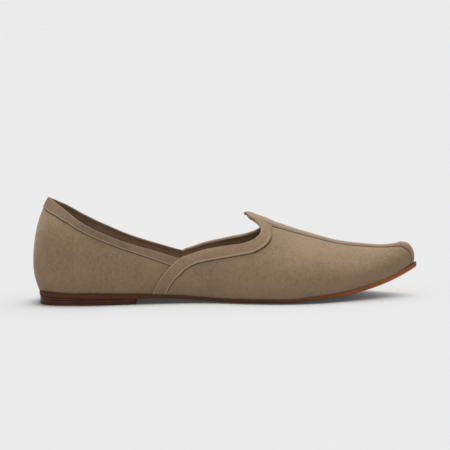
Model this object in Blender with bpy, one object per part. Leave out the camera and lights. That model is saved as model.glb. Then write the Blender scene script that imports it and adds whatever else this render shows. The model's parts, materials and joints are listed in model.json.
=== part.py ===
"""A pointed leather slip-on with a curled throat, standing on its sole with its toe to +X.

The upper is worked out from one last surface: ribs that rise from the sole's edge, bulge, and lean in to
a crest over the foot. The collar, the vamp's edge and the bands are lines drawn on that surface.
All sizes are in millimetres, and MM turns them into metres when a mesh is made.
"""

import math

import bpy
import numpy as np

MM = 0.001

# Overall sizes
SHOE_LENGTH = 289.7
BALL_WIDTH = 92.0
SOLE_WIDTH = 85.8
INSTEP_HEIGHT = 60.0
HEEL_HEIGHT = 5.9
TOE_SPRING = 21.0

# Thicknesses
OUTSOLE_THICKNESS = 4.0
TOP_PIECE_THICKNESS = 2.0
INSOLE_THICKNESS = 2.0
UPPER_WALL = 1.6
VAMP_STEP = 1.1
FACING_THICKNESS = 0.8
QUARTER_FACING_THICKNESS = 0.6
STRIP_THICKNESS = 0.8
TONGUE_WALL = 1.2
GAP = 0.3

# Shares of a length or a climb, counts of ribs, and three lengths in millimetres, that place features
HEEL_BREAST = 0.2713
BULGE_SHARE = 0.3
EDGE_CHAMFER = 0.5
HEEL_INSET = 0.5
TONGUE_THINNING = 26.0
RIB_GIRTH = 72.0
TOP_NORMAL_CLIMB = 0.992
LEVEL_NORMAL_CLIMB = 0.12
BAND_FOOT_CLIMB = 0.02
NOSE_FOOT_CLIMB = 0.04
NOSE_RIBS = 3.2
WING_GAP_RIBS = 0.06


# One row per rib, from the middle of the heel back to the middle of the toe.
# Lengths are shares of SHOE_LENGTH, widths of half BALL_WIDTH, rises above the foot line of INSTEP_HEIGHT.
# The crest's last column is the exponent of the rib's upper arc: 2 is an ellipse, less is more peaked.
# foot x, foot y, bulge x, bulge y, bulge rise, crest x, crest rise, exponent
SECTIONS = (
    (0.013, 0.000, 0.000, 0.000, 0.305, 0.140, 1.440, 2.0),
    (0.020, 0.239, 0.008, 0.270, 0.305, 0.140, 1.268, 2.0),
    (0.042, 0.437, 0.033, 0.490, 0.307, 0.140, 1.187, 2.0),
    (0.075, 0.563, 0.068, 0.630, 0.309, 0.140, 1.147, 2.0),
    (0.108, 0.621, 0.104, 0.699, 0.313, 0.140, 1.131, 2.0),
    (0.144, 0.633, 0.144, 0.717, 0.314, 0.144, 1.161, 2.0),
    (0.192, 0.628, 0.192, 0.704, 0.306, 0.192, 1.091, 2.0),
    (0.244, 0.604, 0.244, 0.678, 0.286, 0.244, 0.901, 2.0),
    (0.295, 0.570, 0.295, 0.652, 0.261, 0.295, 0.759, 2.0),
    (0.347, 0.546, 0.347, 0.637, 0.238, 0.347, 0.687, 2.0),
    (0.399, 0.539, 0.399, 0.648, 0.230, 0.399, 0.670, 2.0),
    (0.451, 0.572, 0.451, 0.700, 0.234, 0.451, 0.756, 1.95),
    (0.503, 0.659, 0.503, 0.787, 0.235, 0.503, 0.853, 1.85),
    (0.554, 0.767, 0.554, 0.883, 0.228, 0.554, 0.972, 1.72),
    (0.580, 0.815, 0.580, 0.922, 0.225, 0.580, 0.955, 1.7),
    (0.606, 0.854, 0.606, 0.954, 0.222, 0.606, 0.907, 1.7),
    (0.632, 0.885, 0.632, 0.980, 0.218, 0.632, 0.848, 1.7),
    (0.658, 0.902, 0.658, 0.996, 0.215, 0.658, 0.803, 1.7),
    (0.710, 0.898, 0.710, 0.983, 0.194, 0.710, 0.700, 1.7),
    (0.755, 0.841, 0.755, 0.922, 0.178, 0.755, 0.611, 1.7),
    (0.796, 0.754, 0.796, 0.830, 0.164, 0.796, 0.535, 1.7),
    (0.834, 0.650, 0.834, 0.722, 0.148, 0.834, 0.476, 1.7),
    (0.869, 0.546, 0.869, 0.609, 0.136, 0.869, 0.421, 1.7),
    (0.900, 0.446, 0.900, 0.500, 0.123, 0.900, 0.369, 1.7),
    (0.927, 0.346, 0.927, 0.391, 0.106, 0.927, 0.333, 1.7),
    (0.951, 0.241, 0.951, 0.287, 0.093, 0.951, 0.307, 1.7),
    (0.964, 0.174, 0.965, 0.202, 0.091, 0.958, 0.290, 1.75),
    (0.976, 0.104, 0.979, 0.130, 0.086, 0.962, 0.266, 1.85),
    (0.983, 0.052, 0.986, 0.067, 0.084, 0.965, 0.248, 1.95),
    (0.986, 0.000, 0.988, 0.000, 0.086, 0.966, 0.242, 2.0),
)

# Lines on the last, seen from the side: length share, and rise above the foot line as a share of INSTEP_HEIGHT.
COLLAR_RIM = (
    (0.044, 1.153),
    (0.054, 1.129),
    (0.066, 1.095),
    (0.082, 1.051),
    (0.097, 1.003),
    (0.112, 0.953),
    (0.126, 0.905),
    (0.145, 0.854),
    (0.171, 0.791),
    (0.206, 0.718),
    (0.244, 0.647),
    (0.289, 0.580),
    (0.339, 0.513),
    (0.390, 0.464),
)
# From the foot of the wing up its rear edge, along the throat and round the scallop to the tongue's tip
VAMP_EDGE = (
    (0.316, 0.000),
    (0.327, 0.105),
    (0.339, 0.202),
    (0.355, 0.301),
    (0.370, 0.377),
    (0.390, 0.464),
    (0.408, 0.505),
    (0.432, 0.554),
    (0.466, 0.609),
    (0.503, 0.647),
    (0.535, 0.668),
    (0.558, 0.692),
    (0.577, 0.723),
    (0.590, 0.762),
    (0.597, 0.802),
    (0.599, 0.845),
    (0.595, 0.884),
    (0.587, 0.919),
    (0.578, 0.950),
    (0.567, 0.980),
    (0.556, 0.982),
)
VALLEY_ROW = 5
SEAM_ROW = 17.6
FACING_LINE = (
    (0.351, 0.000),
    (0.363, 0.110),
    (0.379, 0.212),
    (0.392, 0.276),
    (0.404, 0.333),
    (0.424, 0.396),
    (0.441, 0.428),
    (0.466, 0.464),
    (0.499, 0.499),
    (0.539, 0.535),
    (0.568, 0.560),
    (0.586, 0.588),
    (0.606, 0.638),
    (0.619, 0.697),
    (0.626, 0.755),
    (0.626, 0.818),
    (0.624, 0.862),
)
QUARTER_LINE = (
    (0.033, 1.029),
    (0.045, 1.017),
    (0.063, 0.971),
    (0.077, 0.924),
    (0.091, 0.874),
    (0.105, 0.826),
    (0.135, 0.743),
    (0.196, 0.615),
    (0.284, 0.466),
    (0.362, 0.351),
)
# From the tongue's tip forward inside the spur, then down the side to the foot line
SPUR_LINE = (
    (0.556, 0.982),
    (0.574, 1.006),
    (0.591, 0.963),
    (0.615, 0.893),
    (0.634, 0.788),
    (0.655, 0.587),
    (0.672, 0.340),
    (0.680, 0.150),
    (0.683, 0.000),
)
# Half width of the centre strip as a share of half BALL_WIDTH, by length share; the last row runs down the nose.
STRIP_HALF_WIDTH = (
    (0.559, 0.045),
    (0.564, 0.105),
    (0.569, 0.185),
    (0.579, 0.238),
    (0.592, 0.230),
    (0.606, 0.226),
    (0.623, 0.248),
    (0.648, 0.238),
    (0.686, 0.212),
    (0.734, 0.190),
    (0.803, 0.168),
    (0.872, 0.120),
    (0.920, 0.102),
    (1.000, 0.102),
)
# Half outline of the sole: length share, and share of half SOLE_WIDTH.
SOLE_OUTLINE = (
    (0.016, 0.000),
    (0.017, 0.180),
    (0.022, 0.345),
    (0.035, 0.483),
    (0.059, 0.593),
    (0.090, 0.657),
    (0.125, 0.695),
    (0.162, 0.711),
    (0.200, 0.702),
    (0.244, 0.678),
    (0.295, 0.641),
    (0.347, 0.615),
    (0.399, 0.608),
    (0.451, 0.643),
    (0.503, 0.737),
    (0.554, 0.853),
    (0.606, 0.946),
    (0.658, 0.998),
    (0.710, 0.993),
    (0.755, 0.932),
    (0.796, 0.839),
    (0.834, 0.727),
    (0.869, 0.615),
    (0.900, 0.508),
    (0.927, 0.401),
    (0.951, 0.301),
    (0.971, 0.209),
    (0.985, 0.133),
    (0.995, 0.062),
    (1.000, 0.000),
)
# Height of the outsole's underside: length share, share of HEEL_HEIGHT behind, share of TOE_SPRING in front.
UNDERSIDE = (
    (0.000, 1.000, 0.000),
    (0.088, 0.932, 0.000),
    (0.175, 0.814, 0.000),
    (0.271, 0.661, 0.000),
    (0.347, 0.525, 0.000),
    (0.409, 0.322, 0.000),
    (0.461, 0.102, 0.000),
    (0.503, 0.000, 0.000),
    (0.589, 0.000, 0.000),
    (0.668, 0.000, 0.000),
    (0.720, 0.000, 0.062),
    (0.772, 0.000, 0.129),
    (0.824, 0.000, 0.229),
    (0.865, 0.000, 0.343),
    (0.903, 0.000, 0.476),
    (0.938, 0.000, 0.633),
    (0.969, 0.000, 0.809),
    (1.000, 0.000, 1.000),
)

# Mesh counts
QUARTER_COLUMNS = 17
THROAT_COLUMNS = 24
EVENING_ROUNDS = 400
FRONT_COLUMNS = 22
FRONT_CROWD = 1.25
UPPER_ROWS = 12
FACING_COLUMNS = 34
QUARTER_FACING_COLUMNS = 18
BAND_ROWS = 4
SOLE_STATIONS = 56
HEEL_STATIONS = 20
STRIP_STATIONS = 30

# Colours: suede, band suede, welted sole edge, stacked leather, worn top piece, sock
SUEDE = (0.235, 0.168, 0.112)
BAND_SUEDE = (0.255, 0.186, 0.126)
SOLE_LEATHER = (0.155, 0.058, 0.026)
STACK_LEATHER = (0.055, 0.024, 0.014)
SOCK_LEATHER = (0.130, 0.085, 0.055)


def smooth(rows, at):
    """Natural cubic spline through the rows of a table, read at places counted in rows."""
    rows = np.asarray(rows, float)
    last = len(rows) - 1
    matrix = np.eye(last + 1)
    bends = np.zeros_like(rows)
    for i in range(1, last):
        matrix[i, i - 1 : i + 2] = 1, 4, 1
        bends[i] = 6 * (rows[i - 1] - 2 * rows[i] + rows[i + 1])
    bends = np.linalg.solve(matrix, bends)
    at = np.clip(np.asarray(at, float), 0, last)
    left = np.minimum(at.astype(int), last - 1)
    b = (at - left)[..., None]
    a = 1 - b
    bent = (a**3 - a) * bends[left] + (b**3 - b) * bends[left + 1]
    return a * rows[left] + b * rows[left + 1] + bent / 6


def dense(rows, count=400):
    return smooth(rows, np.linspace(0, len(rows) - 1, count))


def underside(share):
    """Height of the outsole's underside at a share of the length."""
    rows = dense(UNDERSIDE)
    height = rows[:, 1] * HEEL_HEIGHT + rows[:, 2] * TOE_SPRING
    return np.maximum(np.interp(share, rows[:, 0], height), 0)


def foot_line(share):
    """Height at which the upper stands on the outsole."""
    return underside(share) + OUTSOLE_THICKNESS + GAP


def last_point(rib, climb):
    """Point of the last's +Y half. rib counts rows of SECTIONS, climb runs from 0 at the foot to 1 at the crest."""
    rib, climb = np.broadcast_arrays(np.asarray(rib, float), np.asarray(climb, float))
    row = smooth(SECTIONS, rib)
    low = np.clip(climb / BULGE_SHARE, 0, 1)
    angle = np.clip((climb - BULGE_SHARE) / (1 - BULGE_SHARE), 0, 1) * math.pi / 2
    power = 2 / row[..., 7]
    out = 1 - (1 - low) ** 2
    inward = 1 - np.maximum(np.cos(angle), 0) ** power
    up = np.sin(angle) ** power
    x = row[..., 0] + (row[..., 2] - row[..., 0]) * out + (row[..., 5] - row[..., 2]) * inward
    y = row[..., 1] + (row[..., 3] - row[..., 1]) * out - row[..., 3] * inward
    rise = row[..., 4] * low + (row[..., 6] - row[..., 4]) * up
    z = foot_line(row[..., 0]) + rise * INSTEP_HEIGHT
    return np.stack([x * SHOE_LENGTH, np.maximum(y, 0) * BALL_WIDTH / 2, z], axis=-1)


LAST_RIB = len(SECTIONS) - 1


def shell_point(rib, climb, offset):
    """Point at a distance outside the last, along its normal; level at the foot, and flat on the middle plane."""
    rib, climb = np.broadcast_arrays(np.asarray(rib, float), np.asarray(climb, float))
    near, step = np.clip(climb, 0.0, TOP_NORMAL_CLIMB), 1e-3
    before, after = np.clip(rib - step, 0, LAST_RIB), np.clip(rib + step, 0, LAST_RIB)
    along = last_point(after, near) - last_point(before, near)
    upward = last_point(rib, near + step) - last_point(rib, near - step)
    normal = np.cross(upward, along)
    ends = (rib <= 0) | (rib >= LAST_RIB)
    normal[..., 1] = np.where(ends | (climb >= 1), 0, normal[..., 1])
    normal[..., 2] *= np.clip(climb / LEVEL_NORMAL_CLIMB, 0, 1)
    normal /= np.linalg.norm(normal, axis=-1, keepdims=True)
    base = last_point(rib, climb)
    point = base + np.asarray(offset)[..., None] * normal
    lift = foot_line(point[..., 0] / SHOE_LENGTH) - foot_line(base[..., 0] / SHOE_LENGTH)
    point[..., 2] += lift * np.clip(1 - climb / BULGE_SHARE, 0, 1)
    point[..., 1] = np.where(ends | (climb >= 1), 0, point[..., 1])
    return point


def located(line, offset):
    """(rib, climb) of points given as they are seen from the side, on a surface outside the last."""
    ribs = np.linspace(0, LAST_RIB, 16 * LAST_RIB + 1)
    climbs = np.linspace(0, 1, 121)
    grid = shell_point(ribs[:, None], climbs[None, :], offset)
    found = []
    for share, rise in line:
        x = share * SHOE_LENGTH
        z = foot_line(share) + rise * INSTEP_HEIGHT
        rib_at = np.array([np.interp(x, grid[:, j, 0], ribs) for j in range(len(climbs))])
        height = shell_point(rib_at, climbs, offset)[:, 2]
        climb = np.interp(z, np.maximum.accumulate(height), climbs)
        found.append((np.interp(climb, climbs, rib_at), climb))
    return np.array(found)


def curve(places, count, crowd=1.0):
    """Places evenly spaced over the last along a line. crowd over 1 draws them together at its end."""
    fine = dense(places, 600)
    fine[:, 1] = np.clip(fine[:, 1], 0, 1)
    points = last_point(fine[:, 0], fine[:, 1])
    length = np.concatenate([[0], np.cumsum(np.linalg.norm(np.diff(points, axis=0), axis=1))])
    share = 1 - (1 - np.linspace(0, 1, count)) ** crowd
    return np.stack([np.interp(share * length[-1], length, fine[:, i]) for i in (0, 1)], axis=-1)


def patch(bottom, top, first, last):
    """Grid of places between four lines: bottom and top run along the shoe, first and last climb it."""
    u = np.linspace(0, 1, len(bottom))[:, None, None]
    v = np.linspace(0, 1, len(first))[None, :, None]
    corners = (1 - u) * ((1 - v) * bottom[0] + v * top[0]) + u * ((1 - v) * bottom[-1] + v * top[-1])
    return (1 - v) * bottom[:, None] + v * top[:, None] + (1 - u) * first[None] + u * last[None] - corners


def unrolled(places):
    """Places as a flat drawing in millimetres: length along the foot line, and climb times a rib's girth."""
    return np.stack([smooth(SECTIONS, places[..., 0])[..., 0] * SHOE_LENGTH, places[..., 1] * RIB_GIRTH], axis=-1)


def rolled(flat):
    """The places of a flat drawing."""
    ribs = np.linspace(0, LAST_RIB, 16 * LAST_RIB + 1)
    shares = smooth(SECTIONS, ribs)[:, 0]
    return np.stack([np.interp(flat[..., 0] / SHOE_LENGTH, shares, ribs), flat[..., 1] / RIB_GIRTH], axis=-1)


def evened(grid, rounds):
    """The places of a grid moved until no lines of it cross, even beside a hollow border. The border stays."""
    flat = unrolled(grid)
    for _ in range(rounds):
        along = (flat[2:, 1:-1] - flat[:-2, 1:-1]) / 2
        up = (flat[1:-1, 2:] - flat[1:-1, :-2]) / 2
        wide = (along * along).sum(axis=-1, keepdims=True)
        tall = (up * up).sum(axis=-1, keepdims=True)
        lean = (along * up).sum(axis=-1, keepdims=True)
        beside = flat[2:, 1:-1] + flat[:-2, 1:-1]
        above = flat[1:-1, 2:] + flat[1:-1, :-2]
        twist = (flat[2:, 2:] - flat[2:, :-2] - flat[:-2, 2:] + flat[:-2, :-2]) / 4
        flat[1:-1, 1:-1] = (tall * beside + wide * above - 2 * lean * twist) / (2 * (tall + wide))
    return rolled(flat)


def lines_of_the_upper():
    """The collar's rim, the vamp's edge split at the valley, and the spur line, as places on the last."""
    rim = located(COLLAR_RIM, GAP + QUARTER_FACING_THICKNESS)
    rim[0, 0] = 0
    top = VAMP_STEP + GAP + FACING_THICKNESS
    edge = located(VAMP_EDGE, top)
    edge[0, 1] = 0
    edge[-1] = edge[-1, 0], 1
    rim[-1] = edge[VALLEY_ROW]
    spur = located(SPUR_LINE, top)
    spur[0] = edge[-1]
    spur[-1, 1] = 0
    return rim, edge, spur


def between(line, start, end):
    """Part of a smooth line, between two places counted in its rows."""
    return smooth(line, np.linspace(start, end, 120))


def straight(first, second, count=8):
    return np.linspace(first, second, count)


def split_quad(ring, points):
    """Two triangles along the shorter diagonal, so that both sides of the shoe are split alike."""
    a, b, c, d = ring
    if np.linalg.norm(points[a] - points[c]) <= np.linalg.norm(points[b] - points[d]):
        return [(a, b, c), (a, c, d)]
    return [(a, b, d), (b, c, d)]


def mesh_object(name, points, faces, colour, rough):
    """One closed mesh: equal points are joined, faces that collapse are left out, and x is centred."""
    points = np.asarray(points, float)
    _, first, index = np.unique(np.round(points * 2000), axis=0, return_index=True, return_inverse=True)
    index = index.reshape(-1)
    kept = []
    for face in faces:
        ring = [index[i] for i in face]
        ring = [corner for i, corner in enumerate(ring) if corner != ring[i - 1]]
        if len(set(ring)) == 4:
            kept += split_quad(ring, points[first])
        elif len(set(ring)) == 3:
            kept.append(ring)
    placed = points[first] - (SHOE_LENGTH / 2, 0, 0)
    mesh = bpy.data.meshes.new(name)
    mesh.from_pydata((placed * MM).tolist(), [], kept)
    mesh.validate()
    obj = bpy.data.objects.new(name, mesh)
    bpy.context.scene.collection.objects.link(obj)
    material = bpy.data.materials.new(name)
    material.use_nodes = True
    shader = material.node_tree.nodes["Principled BSDF"]
    shader.inputs["Base Color"].default_value = (*colour, 1)
    shader.inputs["Roughness"].default_value = rough
    mesh.materials.append(material)
    return obj


def sheet_faces(columns, rows, start, flip):
    """Quads of a grid of points laid column by column from a starting index."""
    faces = []
    for i in range(columns - 1):
        for j in range(rows - 1):
            a = start + i * rows + j
            ring = (a, a + rows, a + rows + 1, a + 1)
            faces.append(ring[::-1] if flip else ring)
    return faces


def slab(outer, inner, sides):
    """Points and faces between two grids of points; sides names the edges to close: first, last, low, high."""
    columns, rows = outer.shape[:2]
    points = np.concatenate([outer.reshape(-1, 3), inner.reshape(-1, 3)])
    under = columns * rows
    faces = sheet_faces(columns, rows, 0, True) + sheet_faces(columns, rows, under, False)
    for i in range(columns - 1):
        low, high = i * rows, i * rows + rows - 1
        if "low" in sides:
            faces.append((low, low + rows, low + rows + under, low + under))
        if "high" in sides and sides["high"] > i:
            faces.append((high + rows, high, high + under, high + rows + under))
    for j in range(rows - 1):
        last = (columns - 1) * rows + j
        if "first" in sides:
            faces.append((j + 1, j, j + under, j + 1 + under))
        if "last" in sides:
            faces.append((last, last + 1, last + 1 + under, last + under))
    return points, faces


def with_mirror(points, faces):
    """The half and its mirror image across the middle plane."""
    count = len(points)
    other = [tuple(i + count for i in face[::-1]) for face in faces]
    return np.concatenate([points, points * (1, -1, 1)]), list(faces) + other


def mirrored_pair(name, points, faces, colour, rough):
    """A piece on the left side, which is +Y, and its twin on the right."""
    mesh_object(name + "_left", points, faces, colour, rough)
    flipped = [face[::-1] for face in faces]
    mesh_object(name + "_right", points * (1, -1, 1), flipped, colour, rough)


def build_upper(rim, edge, spur):
    """Quarter and vamp as one hollow wall, open at the collar and underneath; the vamp stands a step prouder."""
    wing_foot, spur_foot = edge[0, 0], spur[-1, 0]
    end = float(LAST_RIB)
    rows = UPPER_ROWS
    wing = curve(between(edge, 0, VALLEY_ROW), rows)
    spur_up = curve(spur, rows)[::-1]
    heel = curve(straight((0, 0), (0, rim[0, 1])), rows)
    nose = curve(straight((end, 0), (end, 1)), rows)
    quarter = patch(
        curve(straight((0, 0), (wing_foot, 0)), QUARTER_COLUMNS), curve(rim, QUARTER_COLUMNS), heel, wing
    )
    throat = patch(
        curve(straight((wing_foot, 0), (spur_foot, 0)), THROAT_COLUMNS),
        curve(between(edge, VALLEY_ROW, len(edge) - 1), THROAT_COLUMNS),
        wing,
        spur_up,
    )
    throat = evened(throat, EVENING_ROUNDS)
    front = patch(
        curve(straight((spur_foot, 0), (end, 0)), FRONT_COLUMNS, FRONT_CROWD),
        curve(straight((edge[-1, 0], 1), (end, 1)), FRONT_COLUMNS, FRONT_CROWD),
        spur_up,
        nose,
    )
    places = np.concatenate([quarter, throat, front[1:]])
    places[:, :, 1] = np.clip(places[:, :, 1], 0, 1)
    proud = np.zeros(places.shape[:2])
    proud[QUARTER_COLUMNS:] = VAMP_STEP
    outer = shell_point(places[..., 0], places[..., 1], proud)
    tip = shell_point(edge[-1, 0], 1.0, 0.0)
    away = np.linalg.norm(last_point(places[..., 0], places[..., 1]) - tip, axis=-1)
    thin = np.clip(1 - away / TONGUE_THINNING, 0, 1)
    thin = thin * thin * (3 - 2 * thin)
    depth = -UPPER_WALL + thin * (UPPER_WALL + VAMP_STEP - TONGUE_WALL)
    inner = shell_point(places[..., 0], places[..., 1], depth)
    sides = {"low": True, "high": QUARTER_COLUMNS + THROAT_COLUMNS - 1}
    points, faces = with_mirror(*slab(outer, inner, sides))
    return mesh_object("upper", points, faces, SUEDE, 0.9)


def strip_half_width(share):
    widths = np.array(STRIP_HALF_WIDTH)
    return np.interp(share, widths[:, 0], widths[:, 1]) * BALL_WIDTH / 2


def beside_the_strip(share):
    """Place on the last just outside the centre strip's edge."""
    rib, low, high = crest_rib(share), BULGE_SHARE, 1.0
    target = strip_half_width(share) + 2 * GAP
    for _ in range(30):
        middle = (low + high) / 2
        low, high = (middle, high) if last_point(rib, middle)[1] > target else (low, middle)
    return rib, low


def build_vamp_facings(edge):
    """The band along the vamp's edge, from the wing's foot up the throat to the tongue's seam, one each side."""
    inner_line = located(FACING_LINE, VAMP_STEP + GAP + FACING_THICKNESS)
    inner_line[0, 1] = BAND_FOOT_CLIMB
    outer_line = edge.copy()
    outer_line[0, 1] = BAND_FOOT_CLIMB
    outer_curve = curve(between(outer_line, 0, SEAM_ROW), FACING_COLUMNS)
    seam_shares = np.linspace(0.0, 1.0, 8)
    start, end = smooth(VAMP_EDGE, SEAM_ROW)[0], FACING_LINE[-1][0]
    seam = np.array([beside_the_strip(start + (end - start) * at) for at in seam_shares])
    seam[0] = outer_curve[-1]
    seam = curve(seam, BAND_ROWS)
    inner_line[-1] = seam[-1]
    inner_curve = curve(inner_line, FACING_COLUMNS)
    foot = curve(straight(outer_curve[0], inner_curve[0]), BAND_ROWS)
    places = patch(outer_curve, inner_curve, foot, seam)
    low = VAMP_STEP + GAP
    top = shell_point(places[..., 0], places[..., 1], low + FACING_THICKNESS)
    bottom = shell_point(places[..., 0], places[..., 1], low)
    sides = {"low": True, "high": FACING_COLUMNS, "first": True, "last": True}
    points, faces = slab(top, bottom, sides)
    mirrored_pair("vamp_facing", points, [face[::-1] for face in faces], BAND_SUEDE, 0.9)


def build_quarter_facing(rim, edge):
    """The band under the collar's rim, round the heel from one wing to the other."""
    line = located(QUARTER_LINE, GAP + QUARTER_FACING_THICKNESS)
    line[0, 0] = 0
    high = curve(rim, QUARTER_FACING_COLUMNS)
    low = curve(line, QUARTER_FACING_COLUMNS)
    back = curve(straight(low[0], high[0]), BAND_ROWS)
    front = curve(straight(low[-1], high[-1]), BAND_ROWS)
    places = patch(low, high, back, front)
    places[-1, :, 0] -= WING_GAP_RIBS
    top = shell_point(places[..., 0], places[..., 1], GAP + QUARTER_FACING_THICKNESS)
    bottom = shell_point(places[..., 0], places[..., 1], GAP)
    sides = {"low": True, "high": QUARTER_FACING_COLUMNS, "last": True}
    points, faces = with_mirror(*slab(top, bottom, sides))
    mesh_object("quarter_facing", points, faces, BAND_SUEDE, 0.9)


def crest_rib(share):
    """Rib whose crest stands at a share of the length."""
    ribs = np.linspace(0, LAST_RIB, 10 * LAST_RIB + 1)
    return float(np.interp(share, smooth(SECTIONS, ribs)[:, 5], ribs))


def crest_slice(turn, target):
    """Place where the last is a given distance off the middle plane.

    turn from 0 to 1 walks along the crest up to the nose, and from 1 to 2 round the nose down to the foot.
    """
    pivot = LAST_RIB - NOSE_RIBS
    start = crest_rib(STRIP_HALF_WIDTH[0][0])
    if turn <= 1:
        origin = np.array([start + (pivot - start) * turn, BULGE_SHARE])
        end = np.array([origin[0], 1.0])
    else:
        origin = np.array([pivot, NOSE_FOOT_CLIMB + (BULGE_SHARE - NOSE_FOOT_CLIMB) * (2 - turn)])
        sine, cosine = math.sin((turn - 1) * math.pi / 2), math.cos((turn - 1) * math.pi / 2)
        reach = np.array([LAST_RIB - pivot, 1 - origin[1]])
        end = origin + reach * np.array([sine, cosine]) / max(sine, cosine)
        end = np.array([min(end[0], LAST_RIB), min(end[1], 1.0)])
    low, high = 0.0, 1.0
    for _ in range(40):
        middle = (low + high) / 2
        place = origin + (end - origin) * middle
        if last_point(place[0], place[1])[1] > target:
            low = middle
        else:
            high = middle
    return end if target <= 0 else origin + (end - origin) * (low + high) / 2


def build_centre_strip():
    """The strip over the crest, from the tongue's tip to the toe and down the nose."""
    turns = np.concatenate([np.linspace(0, 1, STRIP_STATIONS), [1.17, 1.33], np.linspace(1.5, 2, 10)])
    places = []
    for turn in turns:
        crest = crest_slice(turn, 0)
        half = strip_half_width(last_point(crest[0], crest[1])[0] / SHOE_LENGTH)
        places.append([crest_slice(turn, half * k / BAND_ROWS) for k in range(BAND_ROWS + 1)])
    places = np.array(places)
    low = VAMP_STEP + GAP
    top = shell_point(places[..., 0], places[..., 1], low + STRIP_THICKNESS)
    bottom = shell_point(places[..., 0], places[..., 1], low)
    top[:, 0, 1] = 0
    bottom[:, 0, 1] = 0
    sides = {"high": len(turns), "first": True, "last": True}
    points, faces = slab(top, bottom, sides)
    points, faces = with_mirror(points, [face[::-1] for face in faces])
    mesh_object("centre_strip", points, faces, BAND_SUEDE, 0.9)


def outline(table, width, start, end, count, inset=0.0):
    """Half outline between two length shares, evenly walked, drawn in by an inset."""
    rows = dense(table, 1200)
    rows = np.stack([rows[:, 0] * SHOE_LENGTH, np.maximum(rows[:, 1], 0) * width / 2], axis=-1)
    ahead = np.gradient(rows, axis=0)
    ahead /= np.linalg.norm(ahead, axis=1, keepdims=True)
    rows = rows + inset * np.stack([ahead[:, 1], -ahead[:, 0]], axis=-1)
    rows = rows[rows[:, 1] >= 0]
    keep = (rows[:, 0] >= start * SHOE_LENGTH) & (rows[:, 0] <= end * SHOE_LENGTH)
    rows = rows[keep]
    length = np.concatenate([[0], np.cumsum(np.linalg.norm(np.diff(rows, axis=0), axis=1))])
    at = np.linspace(0, length[-1], count)
    return np.stack([np.interp(at, length, rows[:, i]) for i in (0, 1)], axis=-1)


def build_plate(name, layers, colour, rough, square_front=False):
    """A plate between stacked half outlines. Each layer is its outline with the height of every point."""
    rows = len(layers)
    count = len(layers[0][0])
    grid = np.zeros((count, rows, 3))
    for k, (half, heights) in enumerate(layers):
        grid[:, k, :2] = half
        grid[:, k, 2] = heights
    grid[0, :, 1] = 0
    if not square_front:
        grid[-1, :, 1] = 0
    points = grid.reshape(-1, 3)
    faces = sheet_faces(count, rows, 0, True)
    points, faces = with_mirror(points, faces)
    half_count = count * rows
    for k, flip in ((0, False), (rows - 1, True)):
        for i in range(count - 1):
            left, left_next = i * rows + k, (i + 1) * rows + k
            ring = (left, left_next, left_next + half_count, left + half_count)
            faces.append(ring[::-1] if flip else ring)
    if square_front:
        for k in range(rows - 1):
            a = (count - 1) * rows + k
            faces.append((a, a + 1, a + 1 + half_count, a + half_count))
    return mesh_object(name, points, faces, colour, rough)


def build_outsole():
    layers = []
    for share, inset in ((0.0, EDGE_CHAMFER), (0.16, 0.0), (0.84, 0.0), (1.0, EDGE_CHAMFER * 0.6)):
        half = outline(SOLE_OUTLINE, SOLE_WIDTH, 0, 1, SOLE_STATIONS, inset)
        layers.append((half, underside(half[:, 0] / SHOE_LENGTH) + share * OUTSOLE_THICKNESS))
    build_plate("outsole", layers, SOLE_LEATHER, 0.45)


def build_heel():
    half = outline(SOLE_OUTLINE, SOLE_WIDTH, 0, HEEL_BREAST, HEEL_STATIONS, HEEL_INSET)
    small = outline(SOLE_OUTLINE, SOLE_WIDTH, 0, HEEL_BREAST, HEEL_STATIONS, HEEL_INSET + EDGE_CHAMFER)
    flat = np.zeros(len(half))
    floor = TOP_PIECE_THICKNESS + GAP
    ceiling = underside(half[:, 0] / SHOE_LENGTH) - GAP
    build_plate("heel_lift", [(half, flat + floor), (half, ceiling)], STACK_LEATHER, 0.5, True)
    piece = [(small, flat), (half, flat + EDGE_CHAMFER), (half, flat + TOP_PIECE_THICKNESS)]
    build_plate("heel_top_piece", piece, STACK_LEATHER, 0.6, True)


def build_insole():
    """The sock, lying on the outsole inside the wall of the upper."""
    foot = [(row[0], row[1]) for row in SECTIONS]
    inset = UPPER_WALL + 2 * GAP
    half = outline(foot, BALL_WIDTH, 0, 1, SOLE_STATIONS - 12, inset)
    base = foot_line(half[:, 0] / SHOE_LENGTH)
    build_plate("insole", [(half, base), (half, base + INSOLE_THICKNESS)], SOCK_LEATHER, 0.7)


def main():
    for obj in list(bpy.data.objects):
        bpy.data.objects.remove(obj)
    rim, edge, spur = lines_of_the_upper()
    build_outsole()
    build_heel()
    build_insole()
    build_upper(rim, edge, spur)
    build_vamp_facings(edge)
    build_quarter_facing(rim, edge)
    build_centre_strip()


main()
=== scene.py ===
"""A pointed suede slip-on shoe dressed for its picture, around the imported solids.

One last surface carries everything: ribs that rise from the sole's edge, bulge, and lean in to a crest over
the foot. The panels, bands, strip and stitches are grids of places on that surface, each at its own distance
outside it. Sizes are in millimetres until a mesh is made.
"""

import json
import logging
import math
from dataclasses import dataclass, field
from enum import Enum

import bpy
import numpy as np
from mathutils import Matrix, Vector

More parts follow.
